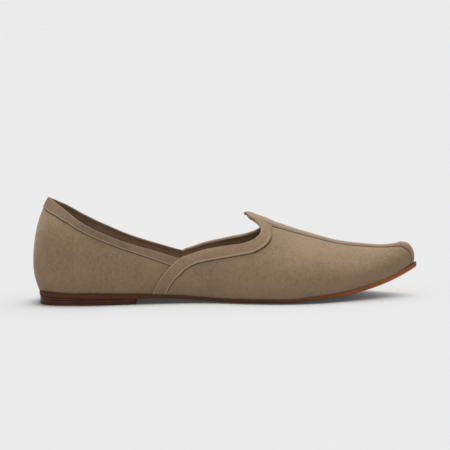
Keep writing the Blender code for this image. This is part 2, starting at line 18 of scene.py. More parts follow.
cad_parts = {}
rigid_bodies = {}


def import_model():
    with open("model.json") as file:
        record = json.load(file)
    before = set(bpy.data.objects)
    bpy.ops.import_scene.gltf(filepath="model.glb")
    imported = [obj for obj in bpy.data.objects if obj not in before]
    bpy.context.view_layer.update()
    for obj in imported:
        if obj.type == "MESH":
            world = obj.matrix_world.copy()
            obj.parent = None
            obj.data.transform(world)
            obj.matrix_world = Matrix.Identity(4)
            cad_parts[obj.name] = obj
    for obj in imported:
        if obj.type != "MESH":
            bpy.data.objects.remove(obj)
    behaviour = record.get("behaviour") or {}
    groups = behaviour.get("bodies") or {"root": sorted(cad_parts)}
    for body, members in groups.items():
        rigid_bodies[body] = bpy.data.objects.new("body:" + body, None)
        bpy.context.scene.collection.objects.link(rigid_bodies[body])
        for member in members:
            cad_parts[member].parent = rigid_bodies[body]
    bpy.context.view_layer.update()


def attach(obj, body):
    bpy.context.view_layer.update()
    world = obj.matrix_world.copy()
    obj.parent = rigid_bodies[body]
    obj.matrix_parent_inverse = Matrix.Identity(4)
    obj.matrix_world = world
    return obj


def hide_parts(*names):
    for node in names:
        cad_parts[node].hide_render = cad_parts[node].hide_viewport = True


MM = 0.001
BODY = "root"
LOG = logging.getLogger("slip_on")

# How finely lines are read: halvings of a search, points of a line on the last, of a part of one, of the
# sole's outline, and climbs along a rib
HALVINGS = 36
LINE_POINTS = 600
PART_POINTS = 120
OUTLINE_POINTS = 2400
CLIMB_POINTS = 121

# Points are made one where they round to the same step, of which a millimetre has this many
WELDS_PER_MM = 2000
# A face whose points are this near the middle plane, in millimetres, lies in it
IN_THE_MIDDLE = 1e-6

# One row per rib, from the middle of the heel back to the middle of the toe.
# Lengths are shares of SHOE_LENGTH, widths of half BALL_WIDTH, rises above the foot line of INSTEP_HEIGHT.
# The crest's last column is the exponent of the rib's upper arc: 2 is an ellipse, less is more peaked.
# foot x, foot y, bulge x, bulge y, bulge rise, crest x, crest rise, exponent
SECTIONS = (
    (0.013, 0.000, 0.000, 0.000, 0.305, 0.140, 1.440, 2.0),
    (0.020, 0.239, 0.008, 0.270, 0.305, 0.140, 1.268, 2.0),
    (0.042, 0.437, 0.033, 0.490, 0.307, 0.140, 1.187, 2.0),
    (0.075, 0.563, 0.068, 0.630, 0.309, 0.140, 1.147, 2.0),
    (0.108, 0.621, 0.104, 0.699, 0.313, 0.140, 1.131, 2.0),
    (0.144, 0.633, 0.144, 0.717, 0.314, 0.144, 1.161, 2.0),
    (0.192, 0.628, 0.192, 0.704, 0.306, 0.192, 1.091, 2.0),
    (0.244, 0.604, 0.244, 0.678, 0.286, 0.244, 0.901, 2.0),
    (0.295, 0.570, 0.295, 0.652, 0.261, 0.295, 0.759, 2.0),
    (0.347, 0.546, 0.347, 0.637, 0.238, 0.347, 0.687, 2.0),
    (0.399, 0.539, 0.399, 0.648, 0.230, 0.399, 0.670, 2.0),
    (0.451, 0.572, 0.451, 0.700, 0.234, 0.451, 0.756, 1.95),
    (0.503, 0.659, 0.503, 0.787, 0.235, 0.503, 0.853, 1.85),
    (0.554, 0.767, 0.554, 0.883, 0.228, 0.554, 0.972, 1.72),
    (0.580, 0.815, 0.580, 0.922, 0.225, 0.580, 0.955, 1.7),
    (0.606, 0.854, 0.606, 0.954, 0.222, 0.606, 0.907, 1.7),
    (0.632, 0.885, 0.632, 0.980, 0.218, 0.632, 0.848, 1.7),
    (0.658, 0.902, 0.658, 0.996, 0.215, 0.658, 0.803, 1.7),
    (0.710, 0.898, 0.710, 0.983, 0.194, 0.710, 0.700, 1.7),
    (0.755, 0.841, 0.755, 0.922, 0.178, 0.755, 0.611, 1.7),
    (0.796, 0.754, 0.796, 0.830, 0.164, 0.796, 0.535, 1.7),
    (0.834, 0.650, 0.834, 0.722, 0.148, 0.834, 0.476, 1.7),
    (0.869, 0.546, 0.869, 0.609, 0.136, 0.869, 0.421, 1.7),
    (0.900, 0.446, 0.900, 0.500, 0.123, 0.900, 0.369, 1.7),
    (0.927, 0.346, 0.927, 0.391, 0.106, 0.927, 0.333, 1.7),
    (0.951, 0.241, 0.951, 0.287, 0.093, 0.951, 0.307, 1.7),
    (0.964, 0.174, 0.965, 0.202, 0.091, 0.958, 0.290, 1.75),
    (0.976, 0.104, 0.979, 0.130, 0.086, 0.962, 0.266, 1.85),
    (0.983, 0.052, 0.986, 0.067, 0.084, 0.965, 0.248, 1.95),
    (0.986, 0.000, 0.988, 0.000, 0.086, 0.966, 0.242, 2.0),
)

# Lines on the last, seen from the side.
# length share, rise above the foot line as a share of INSTEP_HEIGHT
COLLAR_RIM = (
    (0.044, 1.153),
    (0.054, 1.129),
    (0.066, 1.095),
    (0.082, 1.051),
    (0.097, 1.003),
    (0.112, 0.953),
    (0.126, 0.905),
    (0.145, 0.854),
    (0.171, 0.791),
    (0.206, 0.718),
    (0.244, 0.647),
    (0.289, 0.580),
    (0.339, 0.513),
    (0.390, 0.464),
)
# From the foot of the wing up its rear edge, along the throat and round the scallop to the tongue's tip
VAMP_EDGE = (
    (0.316, 0.000),
    (0.327, 0.105),
    (0.339, 0.202),
    (0.355, 0.301),
    (0.370, 0.377),
    (0.390, 0.464),
    (0.408, 0.505),
    (0.432, 0.554),
    (0.466, 0.609),
    (0.503, 0.647),
    (0.535, 0.668),
    (0.558, 0.692),
    (0.577, 0.723),
    (0.590, 0.762),
    (0.597, 0.802),
    (0.599, 0.845),
    (0.595, 0.884),
    (0.587, 0.919),
    (0.578, 0.950),
    (0.567, 0.980),
    (0.556, 0.982),
)
# Inner edge of the vamp's band, from the foot of the wing to the centre strip
FACING_LINE = (
    (0.351, 0.000),
    (0.363, 0.110),
    (0.379, 0.212),
    (0.392, 0.276),
    (0.404, 0.333),
    (0.424, 0.396),
    (0.441, 0.428),
    (0.466, 0.464),
    (0.499, 0.499),
    (0.539, 0.535),
    (0.568, 0.560),
    (0.586, 0.588),
    (0.606, 0.638),
    (0.619, 0.697),
    (0.626, 0.755),
    (0.626, 0.818),
    (0.624, 0.862),
)
# Lower edge of the collar's band, from the back of the heel to the wing
QUARTER_LINE = (
    (0.031, 1.005),
    (0.043, 0.995),
    (0.061, 0.960),
    (0.076, 0.925),
    (0.091, 0.888),
    (0.107, 0.848),
    (0.137, 0.768),
    (0.198, 0.637),
    (0.286, 0.486),
    (0.364, 0.362),
)
# From the tongue's tip forward inside the spur, then down the side to the foot line
SPUR_LINE = (
    (0.556, 0.982),
    (0.574, 1.006),
    (0.591, 0.963),
    (0.615, 0.893),
    (0.634, 0.788),
    (0.655, 0.587),
    (0.672, 0.340),
    (0.680, 0.150),
    (0.683, 0.000),
)
# Half width of the centre strip; the last row runs down the nose.
# length share, half width as a share of half BALL_WIDTH
STRIP_HALF_WIDTH = (
    (0.559, 0.045),
    (0.564, 0.105),
    (0.569, 0.185),
    (0.579, 0.238),
    (0.592, 0.230),
    (0.606, 0.226),
    (0.623, 0.248),
    (0.648, 0.238),
    (0.686, 0.212),
    (0.734, 0.190),
    (0.803, 0.168),
    (0.872, 0.120),
    (0.920, 0.102),
    (1.000, 0.102),
)
# Half outline of the sole: length share, and share of half SOLE_WIDTH.
SOLE_OUTLINE = (
    (0.016, 0.000),
    (0.017, 0.180),
    (0.022, 0.345),
    (0.035, 0.483),
    (0.059, 0.593),
    (0.090, 0.657),
    (0.125, 0.695),
    (0.162, 0.711),
    (0.200, 0.702),
    (0.244, 0.678),
    (0.295, 0.641),
    (0.347, 0.615),
    (0.399, 0.608),
    (0.451, 0.643),
    (0.503, 0.737),
    (0.554, 0.853),
    (0.606, 0.946),
    (0.658, 0.998),
    (0.710, 0.993),
    (0.755, 0.932),
    (0.796, 0.839),
    (0.834, 0.727),
    (0.869, 0.615),
    (0.900, 0.508),
    (0.927, 0.401),
    (0.951, 0.301),
    (0.971, 0.209),
    (0.985, 0.133),
    (0.995, 0.062),
    (1.000, 0.000),
)
# Edge of the outsole, from underneath out and up and back on top.
# inset in millimetres, share of the thickness, share worn away, seam mark of painted shade where the upper
# overhangs the sole's top edge
OUTSOLE_EDGE = (
    (8.00, 0.00, 0.00, 0.0),
    (5.00, 0.00, 0.08, 0.0),
    (2.40, 0.00, 0.18, 0.0),
    (0.90, 0.02, 0.25, 0.0),
    (0.30, 0.05, 0.26, 0.0),
    (0.02, 0.16, 0.22, 0.0),
    (-0.06, 0.50, 0.08, 0.0),
    (0.00, 0.82, 0.00, 0.1),
    (0.10, 0.93, 0.00, 0.5),
    (0.32, 0.99, 0.00, 0.9),
    (1.00, 1.00, 0.00, 1.0),
    (3.00, 1.00, 0.00, 1.0),
)
# Height of the outsole's underside: length share, share of HEEL_HEIGHT behind, share of TOE_SPRING in front.
UNDERSIDE = (
    (0.000, 1.000, 0.000),
    (0.088, 0.932, 0.000),
    (0.175, 0.814, 0.000),
    (0.271, 0.661, 0.000),
    (0.347, 0.525, 0.000),
    (0.409, 0.322, 0.000),
    (0.461, 0.102, 0.000),
    (0.503, 0.000, 0.000),
    (0.589, 0.000, 0.000),
    (0.668, 0.000, 0.000),
    (0.720, 0.000, 0.062),
    (0.772, 0.000, 0.129),
    (0.824, 0.000, 0.229),
    (0.865, 0.000, 0.343),
    (0.903, 0.000, 0.476),
    (0.938, 0.000, 0.633),
    (0.969, 0.000, 0.809),
    (1.000, 0.000, 1.000),
)


def ease(share: np.ndarray | float) -> np.ndarray:
    """Smooth step of a share, flat at 0 and at 1."""
    share = np.clip(share, 0, 1)
    return share * share * (3 - 2 * share)


def travelled(points: np.ndarray) -> np.ndarray:
    """Length walked along a line up to each of its points."""
    return np.concatenate([[0], np.cumsum(np.linalg.norm(np.diff(points, axis=0), axis=1))])


def read_at(at: np.ndarray, known: np.ndarray, table: np.ndarray) -> np.ndarray:
    """Every column of a table, read between its known places, as the last axis."""
    return np.stack([np.interp(at, known, column) for column in table.T], axis=-1)


def crowded(count: int, crowd: float = 1.0) -> np.ndarray:
    """Shares from 0 to 1 at which a line is walked; with a crowd over 1 they draw together at 1."""
    return 1 - (1 - np.linspace(0, 1, count)) ** crowd


def run_on(columns: np.ndarray, count: int) -> np.ndarray:
    """Places carried on by a few columns, each a step as long as the last one."""
    steps = np.arange(1, count + 1).reshape(-1, *[1] * (columns.ndim - 1))
    return np.concatenate([columns, columns[-1] + (columns[-1] - columns[-2]) * steps])


class Spline:
    """Natural cubic spline through the rows of a table, read at places counted in rows."""

    def __init__(self, rows: np.ndarray | tuple) -> None:
        """Solves the bends once: each row's bend and its neighbours' balance the table's second differences.

        Args:
            rows: The table, one row per point.
        """
        self.rows = np.asarray(rows, float)
        self.last = len(self.rows) - 1
        inner = np.arange(1, self.last)
        matrix = np.eye(self.last + 1)
        matrix[inner, inner - 1] = 1
        matrix[inner, inner] = 4
        matrix[inner, inner + 1] = 1
        second = np.zeros_like(self.rows)
        second[inner] = 6 * (self.rows[inner - 1] - 2 * self.rows[inner] + self.rows[inner + 1])
        self.bends = np.linalg.solve(matrix, second)

    def at(self, places: np.ndarray | float) -> np.ndarray:
        """The rows between the rows.

        Args:
            places: Places counted in rows, in an array of any shape.

        Returns:
            The smoothed rows, with the table's columns as the last axis.
        """
        places = np.clip(np.asarray(places, float), 0, self.last)
        left = np.minimum(places.astype(int), self.last - 1)
        b = (places - left)[..., None]
        a = 1 - b
        bent = (a**3 - a) * self.bends[left] + (b**3 - b) * self.bends[left + 1]
        return a * self.rows[left] + b * self.rows[left + 1] + bent / 6

    def dense(self, count: int = 400) -> np.ndarray:
        """Evenly spaced rows over the whole table."""
        return self.at(np.linspace(0, self.last, count))


@dataclass
class Last:
    """The surface that the upper is drawn on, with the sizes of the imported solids."""

    length: float = 289.7
    ball_width: float = 92.0
    sole_width: float = 85.8
    instep_height: float = 60.0
    heel_height: float = 5.9
    toe_spring: float = 21.0
    outsole_thickness: float = 4.0
    seat_gap: float = 0.3
    bulge_share: float = 0.3
    rib_girth: float = 72.0
    top_normal_climb: float = 0.992
    level_normal_climb: float = 0.12
    # Height over the foot line up to which the suede gets painted shade near the sole
    painted_shade_reach: float = 16.0

    def __post_init__(self) -> None:
        """Prepares the splines of the tables."""
        self.sections = Spline(SECTIONS)
        self.last_rib = float(self.sections.last)
        self.floor_rows = Spline(UNDERSIDE).dense()
        self.crest_ribs = np.linspace(0, self.last_rib, 10 * int(self.last_rib) + 1)
        self.crest_shares = self.sections.at(self.crest_ribs)[:, 5]
        self.ribs = np.linspace(0, self.last_rib, 16 * int(self.last_rib) + 1)

    def underside(self, share: np.ndarray) -> np.ndarray:
        """Height of the outsole's underside at a share of the length."""
        height = self.floor_rows[:, 1] * self.heel_height + self.floor_rows[:, 2] * self.toe_spring
        return np.maximum(np.interp(share, self.floor_rows[:, 0], height), 0)

    def foot_line(self, share: np.ndarray) -> np.ndarray:
        """Height at which the upper stands on the outsole."""
        return self.underside(share) + self.outsole_thickness + self.seat_gap

    def low(self, points: np.ndarray) -> np.ndarray:
        """How near the sole a point is, used as painted shade on the suede: 1 on the foot line, and 0 from
        painted_shade_reach above it.
        """
        return ease(1 - (points[..., 2] - self.foot_line(points[..., 0] / self.length)) / self.painted_shade_reach)

    def on(self, places: np.ndarray) -> np.ndarray:
        """Points of the last at places whose last axis holds a rib and a climb."""
        return self.point(places[..., 0], places[..., 1])

    def point(self, rib: np.ndarray | float, climb: np.ndarray | float) -> np.ndarray:
        """Point of the last's left half.

        Below the bulge the width follows a parabola. Above it the rib is a superellipse quarter that leans
        in to the crest: width falls with the cosine and height grows with the sine, each to the rib's power.

        Args:
            rib: Rows of SECTIONS, counted from the heel.
            climb: 0 at the foot of the rib and 1 at its crest.

        Returns:
            Points in millimetres, with x counted from the back of the heel.
        """
        rib, climb = np.broadcast_arrays(np.asarray(rib, float), np.asarray(climb, float))
        row = self.sections.at(rib)
        low = np.clip(climb / self.bulge_share, 0, 1)
        angle = np.clip((climb - self.bulge_share) / (1 - self.bulge_share), 0, 1) * math.pi / 2
        power = 2 / row[..., 7]
        out = 1 - (1 - low) ** 2
        inward = 1 - np.maximum(np.cos(angle), 0) ** power
        up = np.sin(angle) ** power
        x = row[..., 0] + (row[..., 2] - row[..., 0]) * out + (row[..., 5] - row[..., 2]) * inward
        y = row[..., 1] + (row[..., 3] - row[..., 1]) * out - row[..., 3] * inward
        rise = row[..., 4] * low + (row[..., 6] - row[..., 4]) * up
        z = self.foot_line(row[..., 0]) + rise * self.instep_height
        return np.stack([x * self.length, np.maximum(y, 0) * self.ball_width / 2, z], axis=-1)

    def shell(self, places: np.ndarray, offset: np.ndarray | float) -> np.ndarray:
        """Points at a distance from the last, along its normal; level at the foot, flat on the middle plane.

        Args:
            places: Ribs and climbs as the last axis.
            offset: Distance outside the last, one number or one per place.

        Returns:
            Points in millimetres.
        """
        rib, climb = places[..., 0], places[..., 1]
        step = 1e-3
        near = np.clip(climb, 0, self.top_normal_climb)
        before, after = np.clip(rib - step, 0, self.last_rib), np.clip(rib + step, 0, self.last_rib)
        along = self.point(after, near) - self.point(before, near)
        upward = self.point(rib, near + step) - self.point(rib, near - step)
        normal = np.cross(upward, along)
        middle = (rib <= 0) | (rib >= self.last_rib) | (climb >= 1)
        normal[..., 1] = np.where(middle, 0, normal[..., 1])
        normal[..., 2] *= np.clip(climb / self.level_normal_climb, 0, 1)
        normal /= np.linalg.norm(normal, axis=-1, keepdims=True)
        base = self.point(rib, climb)
        found = base + np.broadcast_to(offset, rib.shape)[..., None] * normal
        lift = self.foot_line(found[..., 0] / self.length) - self.foot_line(base[..., 0] / self.length)
        found[..., 2] += lift * np.clip(1 - climb / self.bulge_share, 0, 1)
        found[..., 1] = np.where(middle, 0, found[..., 1])
        return found

    def located(self, line: tuple, offset: float) -> np.ndarray:
        """Places of a line that is given as it is seen from the side, on a surface outside the last.

        Each point's rib is read off for every climb at its length, and the climb whose height fits is kept.

        Args:
            line: Rows of length share and rise share.
            offset: Distance of the surface outside the last.

        Returns:
            One place per row.
        """
        ribs, climbs = self.ribs, np.linspace(0, 1, CLIMB_POINTS)
        grid = self.shell(np.stack(np.meshgrid(ribs, climbs, indexing="ij"), axis=-1), offset)
        found = []
        for share, rise in line:
            x = share * self.length
            z = self.foot_line(share) + rise * self.instep_height
            rib_at = np.array([np.interp(x, grid[:, j, 0], ribs) for j in range(len(climbs))])
            height = self.shell(np.stack([rib_at, climbs], axis=-1), offset)[:, 2]
            climb = np.interp(z, np.maximum.accumulate(height), climbs)
            found.append((np.interp(climb, climbs, rib_at), climb))
        return np.array(found)

    def walked(self, places: np.ndarray, count: int, crowd: float = 1.0) -> np.ndarray:
        """Places evenly spaced over the last along a line.

        Args:
            places: The line's own places, joined by a spline.
            count: How many places to return.
            crowd: Over 1, the places draw together at the line's end.

        Returns:
            The evenly walked places.
        """
        fine = Spline(places).dense(LINE_POINTS)
        fine[:, 1] = np.clip(fine[:, 1], 0, 1)
        length = travelled(self.on(fine))
        return read_at(crowded(count, crowd) * length[-1], length, fine)

    def unrolled(self, places: np.ndarray) -> np.ndarray:
        """Places as a flat drawing in millimetres: length along the foot, and climb times a rib's girth."""
        length = self.sections.at(places[..., 0])[..., 0] * self.length
        return np.stack([length, places[..., 1] * self.rib_girth], axis=-1)

    def rolled(self, flat: np.ndarray) -> np.ndarray:
        """The places of a flat drawing."""
        rib = np.interp(flat[..., 0] / self.length, self.sections.at(self.ribs)[:, 0], self.ribs)
        return np.stack([rib, flat[..., 1] / self.rib_girth], axis=-1)

    def evened(self, grid: np.ndarray, rounds: int) -> np.ndarray:
        """The places of a grid moved until no lines of it cross, even beside a hollow border.

        Args:
            grid: Places, columns by rows. The ones on the border stay.
            rounds: How many times each place moves.

        Returns:
            The moved places.
        """
        flat = self.unrolled(grid)
        for _ in range(rounds):
            along = (flat[2:, 1:-1] - flat[:-2, 1:-1]) / 2
            up = (flat[1:-1, 2:] - flat[1:-1, :-2]) / 2
            wide = (along * along).sum(axis=-1, keepdims=True)
            tall = (up * up).sum(axis=-1, keepdims=True)
            lean = (along * up).sum(axis=-1, keepdims=True)
            beside = flat[2:, 1:-1] + flat[:-2, 1:-1]
            above = flat[1:-1, 2:] + flat[1:-1, :-2]
            twist = (flat[2:, 2:] - flat[2:, :-2] - flat[:-2, 2:] + flat[:-2, :-2]) / 4
            flat[1:-1, 1:-1] = (tall * beside + wide * above - 2 * lean * twist) / (2 * (tall + wide))
        return self.rolled(flat)

    def crest_rib(self, share: np.ndarray | float) -> np.ndarray:
        """Rib whose crest stands at a share of the length."""
        return np.interp(share, self.crest_shares, self.crest_ribs)


def straight(first: tuple, last: tuple, count: int = 8) -> np.ndarray:
    """Evenly spaced places from one place to another."""
    return np.linspace(first, last, count)


def part_of(line: np.ndarray, start: float, end: float) -> np.ndarray:
    """Part of a smooth line between two places counted in its rows."""
    return Spline(line).at(np.linspace(start, end, PART_POINTS))


def carried(line: np.ndarray, across: np.ndarray) -> np.ndarray:
    """Places at shares of a line, carried on straight where a share is under 0 or over 1."""
    share = across[..., None]
    beyond = np.clip(share - 1, 0, None) + np.clip(share, None, 0)
    return read_at(across, np.linspace(0, 1, len(line)), line) + beyond * (line[-1] - line[0])


def coons(
    across: np.ndarray, low: np.ndarray, high: np.ndarray, first: np.ndarray, last: np.ndarray
) -> np.ndarray:
    """Coons patch: the blend of two pairs of lines, less the blend of their corners.

    Args:
        across: Shares of the way from low to high, columns by rows, or one by rows.
        low: The line where the share is 0, one place per column.
        high: The line where it is 1.
        first: The places of the first column's line at those shares.
        last: The places of the last column's line at them.

    Returns:
        A grid of places, columns by rows.
    """
    u = np.linspace(0, 1, len(low))[:, None, None]
    v = across[..., None]
    corners = (1 - u) * ((1 - v) * low[0] + v * high[0]) + u * ((1 - v) * low[-1] + v * high[-1])
    return (1 - v) * low[:, None] + v * high[:, None] + (1 - u) * first + u * last - corners


@dataclass
class Surface:
    """Points and four-cornered faces, with named numbers at every point that the finishes read."""

    points: np.ndarray
    faces: np.ndarray
    marks: dict[str, np.ndarray] = field(default_factory=dict)

    @staticmethod
    def loops(points: np.ndarray, marks: dict[str, np.ndarray], first: bool, last: bool) -> "Surface":
        """Closed rings of points carried along a path; ring j of one column joins ring j of the next.

        Args:
            points: Columns by ring by three.
            marks: Numbers that broadcast to columns by ring.
            first: True to cap the first ring with strips between its two halves.
            last: The same for the last ring.

        Returns:
            The joined surface.
        """
        columns, ring = points.shape[:2]
        i, j = np.meshgrid(np.arange(columns - 1), np.arange(ring), indexing="ij")
        k = (j + 1) % ring
        quads = np.stack([i * ring + j, (i + 1) * ring + j, (i + 1) * ring + k, i * ring + k], axis=-1)
        faces = [quads.reshape(-1, 4)]
        half = np.arange((ring - 1) // 2)
        cap = np.stack([half, half + 1, ring - 2 - half, ring - 1 - half], -1)
        if first:
            faces.append(cap)
        if last:
            faces.append(cap[:, ::-1] + (columns - 1) * ring)
        flat = {name: np.broadcast_to(mark, (columns, ring)).reshape(-1) for name, mark in marks.items()}
        return Surface(points.reshape(-1, 3), np.concatenate(faces), flat)

    def mirrored(self) -> "Surface":
        """The same surface across the middle plane, with its faces turned to stay outward."""
        return Surface(self.points * (1, -1, 1), self.faces[:, ::-1], dict(self.marks))

    def both_sides(self) -> "Surface":
        """The half and its mirror image; faces that lie in the middle plane are left out."""
        inside = (np.abs(self.points[self.faces][..., 1]) > IN_THE_MIDDLE).any(axis=1)
        half = Surface(self.points, self.faces[inside], self.marks)
        return Surface.joined([half, half.mirrored()])

    @staticmethod
    def joined(parts: "list[Surface]") -> "Surface":
        """Several surfaces as one, each keeping its own marks."""
        starts = np.cumsum([0] + [len(part.points) for part in parts[:-1]])
        names = parts[0].marks
        return Surface(
            np.concatenate([part.points for part in parts]),
            np.concatenate([part.faces + start for part, start in zip(parts, starts)]),
            {name: np.concatenate([part.marks[name] for part in parts]) for name in names},
        )

    def welded(self) -> "Surface":
        """Points at the same place made one."""
        keys = np.round(self.points * WELDS_PER_MM)
        _, first, index = np.unique(keys, axis=0, return_index=True, return_inverse=True)
        faces = index.reshape(-1)[self.faces]
        return Surface(self.points[first], faces, {name: mark[first] for name, mark in self.marks.items()})

    def outward(self) -> "Surface":
        """The surface with its faces turned so that the volume inside it is positive."""
        a, b, c, d = (self.points[self.faces[:, k]] for k in range(4))
        volume = np.einsum("ij,ij->", a, np.cross(b, c)) + np.einsum("ij,ij->", a, np.cross(c, d))
        return self if volume > 0 else Surface(self.points, self.faces[:, ::-1], self.marks)


class Smoothing(Enum):
    """How a piece's faces are shaded."""

    SOFT = math.radians(75)
    CRISP = math.radians(35)


@dataclass
class Piece:
    """A finished piece of the shoe: its mesh, its finish, and the solids that it stands for."""

    name: str
    surface: Surface
    finish: "Finish"
    stands_for: tuple[str, ...] = ()
    smoothing: Smoothing = Smoothing.SOFT

    def make(self, last: Last) -> bpy.types.Object:
        """Puts the surface into a mesh object that rides on the shoe's body.

        Corners that repeat are dropped, so that a four-cornered face that collapsed becomes a triangle.

        Args:
            last: The last, whose length centres the piece.

        Returns:
            The object.
        """
        surface = self.surface.welded().outward()
        kept = surface.faces != np.roll(surface.faces, 1, axis=1)
        whole = kept.sum(axis=1) >= 3
        faces, kept = surface.faces[whole], kept[whole]
        totals = kept.sum(axis=1)
        mesh = bpy.data.meshes.new(self.name)
        mesh.vertices.add(len(surface.points))
        placed = (surface.points - (last.length / 2, 0, 0)) * MM
        mesh.vertices.foreach_set("co", placed.astype(np.float32).ravel())
        mesh.loops.add(int(totals.sum()))
        mesh.loops.foreach_set("vertex_index", faces[kept].astype(np.int32))
        mesh.polygons.add(len(totals))
        starts = np.concatenate([[0], np.cumsum(totals)[:-1]])
        mesh.polygons.foreach_set("loop_start", starts.astype(np.int32))
        mesh.update(calc_edges=True)
        mesh.validate()
        mesh.shade_smooth()
        mesh.set_sharp_from_angle(angle=self.smoothing.value)
        for name, mark in surface.marks.items():
            mesh.attributes.new(name, "FLOAT", "POINT").data.foreach_set("value", mark.astype(np.float32))
        mesh.materials.append(self.finish.material())
        obj = bpy.data.objects.new(self.name, mesh)
        bpy.context.scene.collection.objects.link(obj)
        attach(obj, BODY)
        if self.stands_for:
            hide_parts(*self.stands_for)
        LOG.info("%s: %d faces", self.name, len(mesh.polygons))
        return obj


class Value:
    """A node's output, with the arithmetic that adds Math nodes."""

    def __init__(self, graph: "Graph", socket: bpy.types.NodeSocket) -> None:
        """Keeps the socket and the graph that it belongs to."""
        self.graph = graph
        self.socket = socket

    def maths(self, operation: str, first: "Value | float", second: "Value | float") -> "Value":
        """A Math node on two values or numbers."""
        return self.graph.node("ShaderNodeMath", {"operation": operation}, {0: first, 1: second})

    def __add__(self, other: "Value | float") -> "Value":
        """Sum."""
        return self.maths("ADD", self, other)

    def __rsub__(self, other: float) -> "Value":
        """Difference with a number in front."""
        return self.maths("SUBTRACT", other, self)

    def __mul__(self, other: "Value | float") -> "Value":
        """Product."""
        return self.maths("MULTIPLY", self, other)

    __radd__ = __add__
    __rmul__ = __mul__

    def between(self, low: float, high: float) -> "Value":
        """Smooth step that is 0 up to low and 1 from high on."""
        inputs = {"Value": self, "From Min": low, "From Max": high}
        return self.graph.node("ShaderNodeMapRange", {"interpolation_type": "SMOOTHSTEP"}, inputs)


class Graph:
    """The nodes of one material, on its Principled shader."""

    def __init__(self, name: str) -> None:
        """Makes the material.

        Args:
            name: The material's name.
        """
        self.material = bpy.data.materials.new(name)
        self.material.use_nodes = True
        self.tree = self.material.node_tree
        self.shader = self.tree.nodes["Principled BSDF"]
        self.place = self.node("ShaderNodeTexCoord", {}, {}, "Object")

    def feed(self, socket: bpy.types.NodeSocket, value: "Value | float | tuple") -> None:
        """Links a value to a socket, or sets the socket's own number or colour."""
        if isinstance(value, Value):
            self.tree.links.new(value.socket, socket)
        else:
            socket.default_value = value

    def node(self, kind: str, settings: dict, sockets: dict, output: int | str = 0) -> Value:
        """Any node: its settings first, then its sockets.

        Args:
            kind: The node's type.
            settings: Its settings by name.
            sockets: Values, numbers or colours by socket name or number.
            output: Which output to return.

        Returns:
            The output as a value.
        """
        node = self.tree.nodes.new(kind)
        for name, setting in settings.items():
            setattr(node, name, setting)
        for name, value in sockets.items():
            self.feed(node.inputs[name], value)
        return Value(self, node.outputs[output])

    def noise(
        self, size: float, detail: float = 2.0, stretch: tuple = (1, 1, 1), rough: float = 0.5
    ) -> Value:
        """Cloudy noise between 0 and 1.

        Args:
            size: Width of its clouds in metres.
            detail: Octaves.
            stretch: How much longer the clouds are along each axis.
            rough: Share that each finer octave keeps.

        Returns:
            The noise.
        """
        scale = tuple(1 / (size * part) for part in stretch)
        settings = {"vector_type": "POINT"}
        place = self.node("ShaderNodeMapping", settings, {"Vector": self.place, "Scale": scale})
        sockets = {"Vector": place, "Scale": 1.0, "Detail": detail, "Roughness": rough}
        return self.node("ShaderNodeTexNoise", {}, sockets)

    def mark(self, name: str) -> Value:
        """A number that the mesh carries at its points."""
        return self.node("ShaderNodeAttribute", {"attribute_name": name}, {}, "Fac")

    def mixed(self, first: "Value | tuple", second: "Value | tuple", factor: "Value | float") -> Value:
        """One colour blended into another by a factor."""
        first = first if isinstance(first, Value) else (*first, 1)
        second = second if isinstance(second, Value) else (*second, 1)
        return self.node("ShaderNodeMix", {"data_type": "RGBA"}, {0: factor, 6: first, 7: second}, 2)

    def bump(self, height: Value, distance: float, strength: float = 1.0) -> None:
        """Feeds a bump to the shader's normal.

        Args:
            height: Height between 0 and 1.
            distance: What a height of 1 stands for, in metres.
            strength: Share of the bump that is used.
        """
        sockets = {"Strength": strength, "Distance": distance, "Height": height}
        self.feed(self.shader.inputs["Normal"], self.node("ShaderNodeBump", {}, sockets))

    def wear(self, **sockets: "Value | float | tuple") -> bpy.types.Material:
        """Sets the shader's sockets, whose names have underscores for spaces, and returns the material."""
        for name, value in sockets.items():
            self.feed(self.shader.inputs[name.replace("_", " ")], value)
        return self.material


class Finish:
    """What a piece is made of. A finish makes its material once."""

    made: dict[str, bpy.types.Material] = {}

    def material(self) -> bpy.types.Material:
        """The material, made the first time that it is asked for."""
        if self.name not in Finish.made:
            Finish.made[self.name] = self.dressed(Graph(self.name))
        return Finish.made[self.name]


